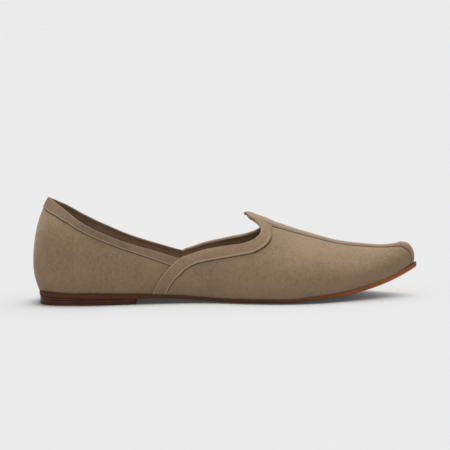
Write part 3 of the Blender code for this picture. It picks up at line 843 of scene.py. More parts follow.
@dataclass(frozen=True)
class Suede(Finish):
    """Brushed split leather: soft clouds where the nap lies differently and short fibre, with painted shade
    near the sole and along the sewn lines, and painted highlights on the bands' beads and rims.
    """

    name: str = "suede"
    slot: str = "suede"
    shade: tuple = (0.192, 0.134, 0.081)
    lit: tuple = (0.266, 0.186, 0.117)
    warm: tuple = (0.268, 0.170, 0.104)
    # Painted shade: the near-black of the shadowed line under the edges of the bands and the strip
    seam: tuple = (0.030, 0.018, 0.010)
    # Painted highlight: the pale of the bands' beads and rim shoulders, and painted light on their shaded
    # insides
    painted_highlight_colour: tuple = (0.360, 0.262, 0.176)
    nap_depth: float = 0.00016

    def dressed(self, graph: Graph) -> bpy.types.Material:
        """Colour from clouds and grain, with painted shade near the sole and in the seams and painted
        highlights where marked, with the nap as a bump.
        """
        broad = graph.noise(0.034, 2)
        tint = graph.noise(0.021, 1, (1.6, 1, 1))
        cloud = graph.noise(0.006, 3)
        grain = graph.noise(0.0022, 2, (1, 1, 1.3), 0.6)
        nap = graph.noise(0.0011, 3, (1, 1, 1.7), 0.65)
        lay = (broad * 0.62 + cloud * 0.36 + grain * 0.75 + nap * 0.75).between(0.92, 1.56)
        colour = graph.mixed(self.shade, self.lit, lay)
        colour = graph.mixed(colour, self.warm, tint.between(0.45, 0.75) * 0.45)
        # Painted shade: the suede darkens towards the sole
        colour = graph.mixed(colour, self.shade, graph.mark("low") * 0.4)
        # Painted highlight and painted light where marked
        colour = graph.mixed(colour, self.painted_highlight_colour, graph.mark("painted_highlight") * 0.75)
        # Painted shade along the seams, under the edges of the bands and the strip
        colour = graph.mixed(colour, self.seam, graph.mark("seam") * 0.94)
        graph.bump(nap * 0.7 + cloud * 0.6, self.nap_depth * 2.2, 0.8)
        rough = 0.84 + nap * 0.14
        return graph.wear(
            Base_Color=colour,
            Roughness=rough,
            Specular_IOR_Level=0.18,
            Sheen_Weight=0.22,
            Sheen_Roughness=0.45,
            Sheen_Tint=(0.80, 0.68, 0.55, 1),
        )


@dataclass(frozen=True)
class Lining(Finish):
    """Smooth lining leather with fine pores."""

    name: str = "lining_leather"
    slot: str = "sock_leather"
    shade: tuple = (0.200, 0.132, 0.086)
    lit: tuple = (0.300, 0.204, 0.138)

    def dressed(self, graph: Graph) -> bpy.types.Material:
        """Colour from slow clouds, with pores and fine wrinkles as a bump."""
        cloud = graph.noise(0.022, 3)
        pores = graph.noise(0.0011, 2)
        colour = graph.mixed(self.shade, self.lit, (cloud * 0.8 + pores * 0.3).between(0.3, 0.8))
        graph.bump(pores, 0.00012, 0.7)
        return graph.wear(Base_Color=colour, Roughness=0.55 + cloud * 0.18, Specular_IOR_Level=0.35)


@dataclass(frozen=True)
class SoleLeather(Finish):
    """Sole leather: waxed at the edge, where long fibres show, and redder towards the toe."""

    name: str = "sole_leather"
    slot: str = "sole_leather"
    waist: tuple = (0.092, 0.033, 0.013)
    toe: tuple = (0.320, 0.106, 0.038)
    burnt_and_shade: tuple = (0.045, 0.020, 0.011)
    waist_end: float = 0.025
    toe_start: float = 0.135

    def dressed(self, graph: Graph) -> bpy.types.Material:
        """Colour from the waist to the toe, streaked by fibres, with painted shade along the upper's foot,
        where the upper overhangs the sole.
        """
        along = graph.node("ShaderNodeSeparateXYZ", {}, {"Vector": graph.place}, "X")
        colour = graph.mixed(self.waist, self.toe, along.between(self.waist_end, self.toe_start))
        fibre = graph.noise(0.0007, 4, (9, 9, 1), 0.6)
        cloud = graph.noise(0.012, 3)
        streak = (fibre * 0.7 + cloud * 0.5).between(0.38, 0.78)
        colour = graph.mixed(colour, self.burnt_and_shade, 0.5 * (1 - streak))
        # Painted shade on the sole's top edge where the upper overhangs it
        colour = graph.mixed(colour, self.burnt_and_shade, graph.mark("seam") * 0.8)
        graph.bump(fibre, 0.00018, 0.6)
        return graph.wear(Base_Color=colour, Roughness=0.5 + cloud * 0.2, Specular_IOR_Level=0.12)


@dataclass(frozen=True)
class StackedLeather(Finish):
    """Dark stained leather of the heel, streaked along its layers."""

    name: str = "stacked_leather"
    slot: str = "stacked_leather"
    deep: tuple = (0.034, 0.011, 0.006)
    brown: tuple = (0.130, 0.038, 0.019)
    rough: float = 0.38

    def dressed(self, graph: Graph) -> bpy.types.Material:
        """Colour from long flat fibres, almost black in the joints between the layers."""
        fibre = graph.noise(0.0006, 4, (14, 14, 1), 0.6)
        cloud = graph.noise(0.009, 3)
        colour = graph.mixed(self.deep, self.brown, (fibre * 0.5 + cloud * 0.5).between(0.2, 0.9))
        colour = graph.mixed(colour, self.deep, graph.mark("seam") * 0.6)
        graph.bump(fibre, 0.0002, 0.6)
        return graph.wear(Base_Color=colour, Roughness=self.rough + cloud * 0.2, Specular_IOR_Level=0.2)


@dataclass(frozen=True)
class Thread(Finish):
    """Matt thread in the suede's colour, with its twist."""

    name: str = "thread"
    slot: str = "suede"
    dark: tuple = (0.105, 0.072, 0.046)
    light: tuple = (0.200, 0.145, 0.098)

    def dressed(self, graph: Graph) -> bpy.types.Material:
        """Colour from a fine grain that stands for the twist."""
        twist = graph.noise(0.0003, 2)
        graph.bump(twist, 0.00008, 0.6)
        return graph.wear(Base_Color=graph.mixed(self.dark, self.light, twist), Roughness=0.7)


@dataclass
class Lines:
    """The lines drawn on the last, as places: collar rim, vamp edge, inner edges of the bands, and spur."""

    last: Last
    quarter_top: float = 0.6
    vamp_top: float = 1.95
    # Rows of VAMP_EDGE: the valley where it leaves the collar, and the start of the strip's seam
    valley_row: int = 5
    seam_row: float = 17.6
    strip_blend: float = 0.016

    def __post_init__(self) -> None:
        """Finds every line on the surface that it is seen on."""
        last = self.last
        self.rim = last.located(COLLAR_RIM, self.quarter_top)
        self.rim[0, 0] = 0
        self.edge = last.located(VAMP_EDGE, self.vamp_top)
        self.edge[0, 1] = 0
        self.edge[-1] = self.edge[-1, 0], 1
        self.rim[-1] = self.edge[self.valley_row]
        self.spur = last.located(SPUR_LINE, self.vamp_top)
        self.spur[0] = self.edge[-1]
        self.spur[-1, 1] = 0
        self.facing = last.located(FACING_LINE, self.vamp_top)
        self.quarter = last.located(QUARTER_LINE, self.quarter_top)
        self.quarter[0, 0] = 0

    def tongue(self) -> np.ndarray:
        """Part of the vamp's edge from the seam to the tongue's tip."""
        return part_of(self.edge, self.seam_row, len(self.edge) - 1)

    def half_strip(self, share: np.ndarray) -> np.ndarray:
        """Half width of the centre strip: the tongue's own edge behind the seam, the table in front of it."""
        widths = np.array(STRIP_HALF_WIDTH)
        table = np.interp(share, widths[:, 0], widths[:, 1]) * self.last.ball_width / 2
        points = self.last.on(self.tongue())[::-1]
        tongue = np.interp(share, points[:, 0] / self.last.length, points[:, 1])
        return tongue + (table - tongue) * self.past_seam(share, self.strip_blend)

    def seam_share(self) -> float:
        """Length share at which the strip's seam starts."""
        return self.last.on(self.tongue()[0])[0] / self.last.length

    def past_seam(self, share: np.ndarray, blend: float) -> np.ndarray:
        """Smooth step over a blend of length shares round the start of the strip's seam."""
        return ease((share - self.seam_share() + blend / 2) / blend)

    def strip_side(self, share: float, beyond: float) -> tuple[float, float]:
        """Place just outside the centre strip's edge, found by halving the climb."""
        rib = float(self.last.crest_rib(share))
        target = float(self.half_strip(np.array(share))) + beyond
        low, high = self.last.bulge_share, 1.0
        for _ in range(HALVINGS):
            middle = (low + high) / 2
            wider = self.last.point(rib, middle)[1] > target
            low, high = (middle, high) if wider else (low, middle)
        return rib, low


def distance(points: np.ndarray, line: np.ndarray) -> np.ndarray:
    """Distance of every point of a grid to the nearest point of a line."""
    gaps = points[..., None, :] - line[(None,) * (points.ndim - 1)]
    return np.sqrt((gaps**2).sum(axis=-1).min(axis=-1))


@dataclass
class Dent:
    """A soft trough or ridge pressed into the suede along a short line seen from the side."""

    start: tuple[float, float]
    end: tuple[float, float]
    width: float
    depth: float

    def relief(self, points: np.ndarray) -> np.ndarray:
        """Depth times a bell curve of the distance to the line, as seen from the side."""
        start, run = np.array(self.start), np.subtract(self.end, self.start)
        flat = points[..., (0, 2)] - start
        share = np.clip(flat @ run / (run @ run), 0, 1)
        away = np.linalg.norm(flat - share[..., None] * run, axis=-1)
        return self.depth * np.exp(-((away / self.width) ** 2))


class Layer(Enum):
    """The wall's layers, by the share of the vamp's distance that they stand at; the lining has none."""

    QUARTER = 0
    VAMP = 1
    LINING = None


@dataclass
class Upper:
    """Quarter, vamp and lining: closed panels between two distances from the last, open at the collar."""

    lines: Lines
    wall: float = 1.6
    rim_wall: float = 0.6
    rim_reach: float = 13.0
    vamp_offset: float = 1.2
    lining_thickness: float = 0.7
    panel_lap: float = 0.3
    tongue_reach: float = 26.0
    tongue_inside: float = -0.1
    sink: float = 0.45
    sink_climb: float = 0.08
    lap_columns: int = 4
    quarter_columns: int = 120
    throat_columns: int = 150
    evening_rounds: int = 2500
    front_columns: int = 120
    front_crowd: float = 1.25
    rows: int = 52
    dents: tuple[Dent, ...] = (
        Dent((110.5, 14), (114.5, 27), 2.6, -0.28),
        Dent((119, 17), (125, 27), 4.0, -0.22),
        Dent((176, 50), (181, 40), 5.0, -0.35),
        Dent((36, 30), (60, 22), 10.0, -0.5),
        Dent((205, 30), (232, 27), 9.0, 0.35),
    )

    def __post_init__(self) -> None:
        """Works out the grid of places that the panels share."""
        last, lines, rows = self.lines.last, self.lines, self.rows
        wing_foot, spur_foot = lines.edge[0, 0], lines.spur[-1, 0]
        end, across = last.last_rib, crowded(rows)[None]
        wing = last.walked(part_of(lines.edge, 0, lines.valley_row), rows)
        spur = last.walked(lines.spur[::-1], rows)
        heel = last.walked(straight((0, 0), (0, lines.rim[0, 1])), rows)
        nose = last.walked(straight((end, 0), (end, 1)), rows)
        foot = last.walked(straight((0, 0), (wing_foot, 0)), self.quarter_columns)
        self.quarter = coons(across, foot, last.walked(lines.rim, self.quarter_columns), heel, wing)
        foot = last.walked(straight((wing_foot, 0), (spur_foot, 0)), self.throat_columns)
        edge = part_of(lines.edge, lines.valley_row, len(lines.edge) - 1)
        throat = coons(across, foot, last.walked(edge, self.throat_columns), wing, spur)
        self.throat = last.evened(throat, self.evening_rounds)
        foot = last.walked(straight((spur_foot, 0), (end, 0)), self.front_columns, self.front_crowd)
        crest = last.walked(straight((lines.edge[-1, 0], 1), (end, 1)), self.front_columns, self.front_crowd)
        self.front = coons(across, foot, crest, spur, nose)
        rim = np.concatenate([part_of(lines.rim, 0, len(lines.rim) - 1), edge])[::2]
        self.rim_points = last.on(rim)

    def inside(self, points: np.ndarray) -> np.ndarray:
        """Distance of the wall's inner face from the last: full deep down, thin at the rim and the tongue."""
        near = ease(1 - distance(points, self.rim_points) / self.rim_reach)
        tip = self.rim_points[-1]
        thin = ease(1 - np.linalg.norm(points - tip, axis=-1) / self.tongue_reach)
        by_rim = -self.wall + near * (self.wall - self.rim_wall)
        by_tongue = -self.wall + thin * (self.wall + self.tongue_inside)
        return np.maximum(by_rim, by_tongue)

    def panel(
        self, places: np.ndarray, rims: np.ndarray, layer: Layer, first: bool, last_cap: bool
    ) -> Surface:
        """A closed panel between two distances from the last, drawn to a wedge at the rim.

        Args:
            places: Columns by rows of places, from the foot up.
            rims: For every column, whether its last row is a rim.
            layer: Which of the wall's layers it is.
            first: True to cap its first column.
            last_cap: True to cap its last column.

        Returns:
            Both sides of the shoe's panel as one surface.
        """
        last = self.lines.last
        places = np.clip(places, (0, 0), (last.last_rib, 1))
        base = last.on(places)
        inner = self.inside(base)
        relief = sum(dent.relief(base) for dent in self.dents)
        if layer is Layer.LINING:
            outer = inner + self.lining_thickness
        else:
            outer = layer.value * self.vamp_offset + relief
            inner = inner + self.panel_lap
        middle = (outer[:, -1] + inner[:, -1]) / 2
        outer[:, -1] = np.where(rims, middle, outer[:, -1])
        inner[:, -1] = np.where(rims, middle, inner[:, -1])
        out, under = last.shell(places, outer), last.shell(places, inner)
        settle = self.sink * np.clip(1 - places[..., 1] / self.sink_climb, 0, 1)
        out[..., 2] -= settle
        under[..., 2] -= settle
        ring = np.concatenate([out, under[:, ::-1]], axis=1)
        # The low mark is painted shade towards the sole
        low = last.low(out)
        marks = {"low": np.concatenate([low, low[:, ::-1]], axis=1)}
        return Surface.loops(ring, marks, first, last_cap).both_sides()

    def pieces(self) -> list[Piece]:
        """The quarter, which runs on under the vamp, the vamp, and the lining."""
        quarter = run_on(self.quarter, self.lap_columns)
        vamp = np.concatenate([self.throat, self.front[1:]])
        whole = np.concatenate([self.quarter, vamp[1:]])
        open_top = np.arange(len(vamp)) < self.throat_columns
        open_whole = np.arange(len(whole)) < self.quarter_columns + self.throat_columns - 1
        suede, lining = Suede(), Lining()
        all_rims = np.ones(len(quarter), bool)
        return [
            Piece("quarter", self.panel(quarter, all_rims, Layer.QUARTER, False, True), suede, ("upper",)),
            Piece("vamp", self.panel(vamp, open_top, Layer.VAMP, True, False), suede, ("upper",)),
            Piece("lining", self.panel(whole, open_whole, Layer.LINING, False, False), lining, ("upper",)),
        ]


@dataclass
class BandProfile:
    """Cross-section of a turned band, from its inner edge over the top and round the rim to the inside.

    A lip at the inner edge is the sewn line: it lies just over the panel and is marked as a seam, painted
    dark as the shade under the band's edge. The band's underside is bedded in the panel. On the inside a
    flange runs down the wall.
    """

    top: float
    panel: float
    edge_round: float = 0.8
    lip: float = 0.6
    lip_rise: float = 0.05
    bed: float = 0.3
    bed_lap: float = 1.0
    overhang: float = 0.15
    rim_roundness: float = 0.85
    flange: float = 3.0
    flange_end: float = 0.3
    flange_wall: float = 0.6
    crown: float = 0.06
    bead: float = 0.3
    bead_width: float = 1.4
    soft_round: float = 3.4
    edge_points: int = 7
    top_points: int = 24
    rim_points: int = 15
    painted_highlight: float = 0.8
    flange_painted_light: float = 0.7

    def ring(self, width: np.ndarray, inside: np.ndarray, firm: np.ndarray) -> tuple[np.ndarray, ...]:
        """Distances from the rim and from the last for every column.

        The edge is a quarter ellipse from the lip up to a small bead, where the leather is folded under. The
        top is crowned by a sine, and the rim is half an ellipse from the top to the inside. Where the band
        isn't firm its edge is stretched and loses the bead, so that the line dies away.

        Args:
            width: Width of the band in each column.
            inside: Distance of the band's inner face from the last in each column.
            firm: One where the edge is crisp and zero where it has died away, in each column.

        Returns:
            Distance from the rim, distance from the last, seam mark of painted shade and mark of painted
            highlight, each columns by ring.
        """
        width, inside, firm = width[:, None], inside[:, None], firm[:, None]
        ones = np.ones_like(width)
        low = self.panel - self.bed
        edge_round = self.edge_round + self.soft_round * (1 - firm)
        bead = self.bead * firm
        turn = np.linspace(0, math.pi / 2, self.edge_points)[None]
        across = np.linspace(0, 1, self.top_points)[None, 1:-1] ** 1.6
        roll = np.linspace(math.pi / 2, -math.pi / 2, self.rim_points)[None]
        reach = (self.top - inside) / 2 * self.rim_roundness
        level = (self.top + inside) / 2
        foot = self.panel + self.lip_rise
        edge_d = width - edge_round * (1 - np.cos(turn))
        edge_h = foot + (self.top + bead - foot) * np.sin(turn)
        top_d = (width - edge_round) + (reach - width + edge_round) * across
        fold = np.cos(math.pi / 2 * np.clip((width - edge_round - top_d) / self.bead_width, 0, 1)) ** 2
        top_h = self.top + self.crown * np.sin(math.pi * across) + bead * fold
        rim_d = reach - (reach + self.overhang) * np.cos(roll)
        rim_h = level + (self.top - inside) / 2 * np.sin(roll)
        far, wall = reach + self.flange, inside + self.flange_wall
        lip = width + self.lip
        d = [lip, lip - self.lip_rise, edge_d, top_d, rim_d, far, far + self.flange_end, width - self.bed_lap]
        h = [low * ones, foot * ones, edge_h, top_h, rim_h, inside, wall, np.minimum(low, wall)]
        d, h = np.concatenate(d, axis=1), np.concatenate(h, axis=1)
        # Painted shade: the seam is dark on the lip and up to the edge's second point, where the band's edge
        # shades the panel
        band_shade_marks = np.array([[1, 1, 1, 0.35]])
        seam = np.zeros_like(d)
        seam[:, : band_shade_marks.shape[1]] = band_shade_marks * firm
        # Painted highlight on the bead and on the rim's outer shoulder, and painted light all over the
        # inside, where the wall is in shade
        shoulder = np.clip(np.cos(roll - 0.5), 0, 1) ** 6 + (roll < -0.3) * self.flange_painted_light
        none = np.zeros((len(width), 2))
        bead_highlight = [np.sin(turn) ** 6 * firm * self.painted_highlight, fold * firm * self.painted_highlight]
        painted_highlight = [none, *bead_highlight, shoulder * ones, none + self.flange_painted_light, none[:, :1]]
        return d, h, seam, np.concatenate(painted_highlight, axis=1)


def trim(name: str, shade: tuple, lit: tuple) -> Suede:
    """The suede of a band or the strip: one slot, with its own name and its colours in shade and light."""
    return Suede(name=name, slot="band_suede", shade=shade, lit=lit)


@dataclass
class Bands:
    """The bands along the collar and along the vamp's edge."""

    lines: Lines
    upper: Upper
    columns: int = 230
    quarter_columns: int = 190
    end_places: int = 8
    profile: BandProfile = field(default_factory=lambda: BandProfile(top=1.95, panel=1.2))
    quarter_profile: BandProfile = field(
        default_factory=lambda: BandProfile(
            top=0.6, panel=0.0, edge_round=0.5, lip=0.45, crown=0.02, bead=0.18
        )
    )
    foot_climb: float = 0.004
    strip_gap: float = 0.1
    lining_gap: float = 0.12
    on_quarter: float = -0.1
    lap_start: float = 1.0
    lap_end: float = 9.0
    lap_columns: int = 3
    line_fade: float = 0.17
    line_end: float = 0.045

    def width_of(self, low: np.ndarray, high: np.ndarray) -> np.ndarray:
        """Straight width of the band in every column."""
        return np.linalg.norm(self.lines.last.on(low) - self.lines.last.on(high), axis=-1)

    def vamp_grid(self) -> tuple[np.ndarray, ...]:
        """The four lines round the vamp's band: rim, inner edge, foot, and seam beside the strip."""
        lines, last = self.lines, self.lines.last
        outer_line, inner_line = lines.edge.copy(), lines.facing.copy()
        outer_line[0, 1] = inner_line[0, 1] = self.foot_climb
        rim = last.walked(part_of(outer_line, 0, lines.seam_row), self.columns)
        start, end = Spline(VAMP_EDGE).at(lines.seam_row)[0], FACING_LINE[-1][0]
        shares = np.linspace(start, end, self.end_places)
        seam = np.array([lines.strip_side(share, self.strip_gap) for share in shares])
        seam[0] = rim[-1]
        inner_line[-1] = seam[-1]
        inner = last.walked(inner_line, self.columns)
        foot = last.walked(straight(rim[0], inner[0]), self.end_places)
        return rim, inner, foot, last.walked(seam, self.end_places)

    def band(
        self, grid: tuple, profile: BandProfile, inside: np.ndarray, firm: np.ndarray
    ) -> tuple[np.ndarray, dict]:
        """Points and marks of a band's rings."""
        width = self.width_of(grid[0], grid[1])
        d, h, seam, painted_highlight = profile.ring(width, inside, firm)
        places = self.spread(d / width[:, None], *grid)
        places[..., 1] = np.clip(places[..., 1], 0, 1)
        points = self.lines.last.shell(places, h)
        # The low mark is painted shade towards the sole
        return points, {"seam": seam, "painted_highlight": painted_highlight, "low": self.lines.last.low(points)}

    def spread(
        self, across: np.ndarray, rim: np.ndarray, inner: np.ndarray, first: np.ndarray, last: np.ndarray
    ) -> np.ndarray:
        """Places at any share of the way across a band, and past its edges."""
        return coons(across, rim, inner, carried(first, across), carried(last, across))

    def wall_inside(self, rim: np.ndarray) -> np.ndarray:
        """Where the band's inner face lies: just inside the lining."""
        return self.upper.inside(self.lines.last.on(rim)) - self.lining_gap

    def vamp_band(self) -> Surface:
        """The left band. On the wing it lies on the quarter, and past the valley it turns over the rim."""
        grid = self.vamp_grid()
        valley = self.lines.last.on(self.lines.edge[self.lines.valley_row])
        past = ease((self.lines.last.on(grid[0])[:, 0] - valley[0] + self.lap_start) / self.lap_end)
        inside = self.on_quarter + (self.wall_inside(grid[0]) - self.on_quarter) * past
        firm = ease((1 - self.line_end - np.linspace(0, 1, len(inside))) / self.line_fade)
        points, marks = self.band(grid, self.profile, inside, firm)
        return Surface.loops(points, marks, True, True)

    def quarter_grid(self) -> tuple[np.ndarray, ...]:
        """The four lines round half of the collar band, which runs on a little under the vamp's band."""
        lines, last = self.lines, self.lines.last
        rim, low = (
            run_on(last.walked(line, self.quarter_columns), self.lap_columns)
            for line in (lines.rim, lines.quarter)
        )
        return rim, low, straight(rim[0], low[0]), straight(rim[-1], low[-1])

    def quarter_band(self) -> Surface:
        """The band round the heel from one wing to the other."""
        grid = self.quarter_grid()
        firm = np.ones(len(grid[0]))
        points, marks = self.band(grid, self.quarter_profile, self.wall_inside(grid[0]), firm)
        return Surface.loops(points, marks, False, True).both_sides()

    def pieces(self) -> list[Piece]:
        """The collar band and the vamp's band on either side."""
        suede = trim("band_suede", (0.190, 0.130, 0.080), (0.262, 0.183, 0.117))
        # Painted shade: the collar band's suede is a darker copy of the band's, for the shade that falls on
        # it
        collar = trim("collar_suede_darkened_for_shade", (0.146, 0.099, 0.062), (0.202, 0.140, 0.090))
        left = self.vamp_band()
        return [
            Piece("quarter_band", self.quarter_band(), collar, ("quarter_facing",)),
            Piece("vamp_band_left", left, suede, ("vamp_facing_left",)),
            Piece("vamp_band_right", left.mirrored(), suede, ("vamp_facing_right",)),
        ]


@dataclass
class CentreStrip:
    """The strip over the crest: it covers the tongue, narrows to the toe and runs down the nose."""

    lines: Lines
    top: float = 1.9
    tip_rise: float = 0.1
    tip_length: float = 6.0
    panel: float = 1.2
    edge_round: float = 0.8
    edge_share: float = 0.45
    lip: float = 0.42
    lip_rise: float = 0.05
    lip_end: float = 0.03
    bed: float = 0.35
    seam_blend: float = 0.012
    overhang: float = 0.3
    under: float = -0.3
    under_share: float = 0.6
    crown: float = 0.1
    nose_ribs: float = 3.2
    nose_foot: float = 0.04
    nose_closing: float = 0.55
    stations: int = 200
    tip_crowd: float = 1.25
    shoulder_stations: int = 16
    nose_stations: int = 50
    top_points: int = 15
    edge_points: int = 8

    def places(self, turn: np.ndarray, target: np.ndarray) -> np.ndarray:
        """Places where the last is a given distance off the middle plane, found by halving along rays.

        Up to turn 1 each ray climbs its own rib. From 1 to 2 the rays fan round the nose from one pivot.

        Args:
            turn: 0 at the tongue's tip, 1 above the pivot, 2 at the foot of the nose, one per station.
            target: Distances off the middle plane, stations by ring.

        Returns:
            Places, stations by ring.
        """
        last = self.lines.last
        pivot = last.last_rib - self.nose_ribs
        start = last.crest_rib(self.start_share())
        bulge = last.bulge_share
        down = np.clip(turn - 1, 0, 1)
        rib = start + (pivot - start) * np.clip(turn, 0, 1)
        start_climb = np.where(turn <= 1, bulge, self.nose_foot + (bulge - self.nose_foot) * (1 - down))
        origin = np.stack([rib, start_climb], -1)
        sine, cosine = np.sin(down * math.pi / 2), np.cos(down * math.pi / 2)
        reach = np.stack([(last.last_rib - pivot) * sine, (1 - origin[:, 1]) * cosine], -1)
        end = origin + reach / np.maximum(sine, cosine)[:, None]
        end = np.minimum(end, (last.last_rib, 1.0))
        origin, run = origin[:, None], (end - origin)[:, None]
        low, high = np.zeros_like(target), np.ones_like(target)
        for _ in range(HALVINGS):
            middle = (low + high) / 2
            place = origin + run * middle[..., None]
            wider = last.on(place)[..., 1] > target
            low, high = np.where(wider, middle, low), np.where(wider, high, middle)
        share = np.where(target <= 0, 1.0, (low + high) / 2)
        return origin + run * share[..., None]

    def start_share(self) -> float:
        """Length share of the tongue's tip, less the overhang."""
        return VAMP_EDGE[-1][0] - self.overhang / self.lines.last.length

    def turns(self) -> np.ndarray:
        """Stations along the crest, drawn together at the tip, then round the nose."""
        crest = np.linspace(0, 1, self.stations) ** self.tip_crowd
        shoulder = np.linspace(1.03, 1.5, self.shoulder_stations)
        return np.concatenate([crest, shoulder, np.linspace(1.51, 2, self.nose_stations)])

    def shares(self, turn: np.ndarray) -> np.ndarray:
        """Length share of the crest at every station."""
        crest = self.places(turn, np.zeros((len(turn), 1)))[:, 0]
        return self.lines.last.on(crest)[:, 0] / self.lines.last.length

    def surface(self) -> Surface:
        """The strip: a crowned top, an edge that rounds down to the sewn lip, and a flat underside."""
        last, turn = self.lines.last, self.turns()
        share = self.shares(turn)
        half = self.lines.half_strip(share)[:, None]
        on_vamp = self.lines.past_seam(share, self.seam_blend)[:, None]
        tip = ease(1 - (share - VAMP_EDGE[-1][0]) * last.length / self.tip_length)[:, None]
        half = half + self.overhang * (1 - on_vamp)
        top = self.top + self.tip_rise * tip
        foot = self.under + (self.panel + self.lip_rise - self.under) * on_vamp
        edge = np.minimum(self.edge_round, half * self.edge_share)
        closed = on_vamp * (1 - self.nose_closing * np.clip(turn - 1, 0, 1))[:, None]
        lip = self.lip * closed
        across = np.linspace(0, 1, self.top_points)[None]
        curve = np.linspace(math.pi / 2, 0, self.edge_points)[None, 1:]
        top_d = (half - edge) * across
        top_h = top + self.crown * (1 - tip) * (1 - across**2)
        edge_d = half - edge * (1 - np.cos(curve))
        edge_h = foot + (top - foot) * np.sin(curve)
        below = foot - self.bed * on_vamp
        d = [top_d, edge_d, half + lip, half + lip + self.lip_end, half * self.under_share, half * 0]
        h = [top_h, edge_h, foot, below, below, below]
        d, h = np.concatenate(d, axis=1), np.concatenate(h, axis=1)
        # Painted shade as a seam mark, from the last but one point of the edge to the end of the lip, where
        # the strip's edge shades the vamp
        strip_shade_marks = [0.35, 1, 1, 1, 0, 0]
        seam = np.zeros(d.shape[1])
        seam[-len(strip_shade_marks) :] = strip_shade_marks
        points = last.shell(self.places(turn, d), h)
        points[:, (0, -1), 1] = 0
        return Surface.loops(points, {"seam": seam[None] * closed}, True, True).both_sides()

    def pieces(self) -> list[Piece]:
        """The strip on its own."""
        suede = trim("strip_suede", (0.198, 0.140, 0.087), (0.276, 0.197, 0.127))
        return [Piece("strip_and_tongue", self.surface(), suede, ("centre_strip",))]


@dataclass
class Stitching:
    """Rows of stitches: rice grains of thread half sunk in the suede."""

    bands: Bands
    strip: CentreStrip
    pitch: float = 2.3
    stitch: float = 1.75
    thread: float = 0.17
    from_edge: float = 1.35
    lift: float = 0.05
    raised: float = 0.5
    blunt: float = 0.02
    strip_start: float = 0.02
    band_ends: int = 3
    strip_end: int = 8
    stations: int = 7
    sides: int = 6

    def row(self, places: np.ndarray, height: float) -> Surface:
        """Stitches along a line of places.

        Each grain is a circle swept along its length, with the radius of an ellipse and slightly blunt ends.
        Its middle stands half a radius above the line.

        Args:
            places: The line's places.
            height: Distance of the line outside the last.

        Returns:
            The grains as one surface.
        """
        last = self.bands.lines.last
        points = last.shell(places, height)
        above = last.shell(places, height + 0.5)
        length = travelled(points)
        count = int(length[-1] / self.pitch)
        middle = (np.arange(count) + 0.5) * self.pitch
        share = np.linspace(-1, 1, self.stations)
        centre = read_at(middle[:, None] + share * self.stitch / 2, length, points)
        up = read_at(middle, length, above - points)
        up /= np.linalg.norm(up, axis=-1, keepdims=True)
        along = centre[:, -1] - centre[:, 0]
        aside = np.cross(along, up)
        aside /= np.linalg.norm(aside, axis=-1, keepdims=True)
        round_it = np.linspace(0, 2 * math.pi, self.sides + 1)[:-1]
        radius = self.thread * np.sqrt(np.maximum(1 - share**2, self.blunt))
        circle = np.cos(round_it)[:, None] * aside[:, None] + np.sin(round_it)[:, None] * up[:, None]
        lift = up[:, None] * (self.thread * self.raised * (1 - share**2))[None, :, None]
        grains = centre[:, :, None] + lift[:, :, None] + radius[None, :, None, None] * circle[:, None]
        one = Surface.loops(grains[0], {}, True, True)
        starts = np.arange(count)[:, None, None] * self.stations * self.sides
        return Surface(grains.reshape(-1, 3), (one.faces[None] + starts).reshape(-1, 4))

    def band_row(self, grid: tuple[np.ndarray, ...], top: float) -> Surface:
        """Stitches at a fixed distance inside the inner edge of a band."""
        width = self.bands.width_of(grid[0], grid[1])
        share = (width - self.from_edge) / width
        places = self.bands.spread(share[:, None], *grid)[:, 0]
        return self.row(places[self.band_ends : -self.band_ends], top + self.lift)

    def strip_row(self) -> Surface:
        """Stitches along the strip's edge, from the seam to the toe."""
        turn = self.strip.turns()
        share = self.strip.shares(turn)
        sewn = share > self.bands.lines.seam_share() + self.strip_start
        turn, share = turn[sewn][: -self.strip_end], share[sewn][: -self.strip_end]
        half = self.bands.lines.half_strip(share) - self.from_edge
        return self.row(self.strip.places(turn, half[:, None])[:, 0], self.strip.top + self.lift)

    def pieces(self) -> list[Piece]:
        """One piece of thread for every seam."""
        bands = self.bands
        rows = {
            "vamp_band_stitches": self.band_row(bands.vamp_grid(), bands.profile.top),
            "quarter_band_stitches": self.band_row(bands.quarter_grid(), bands.quarter_profile.top),
            "strip_stitches": self.strip_row(),
        }
        return [Piece(name, Surface.joined([row, row.mirrored()]), Thread()) for name, row in rows.items()]


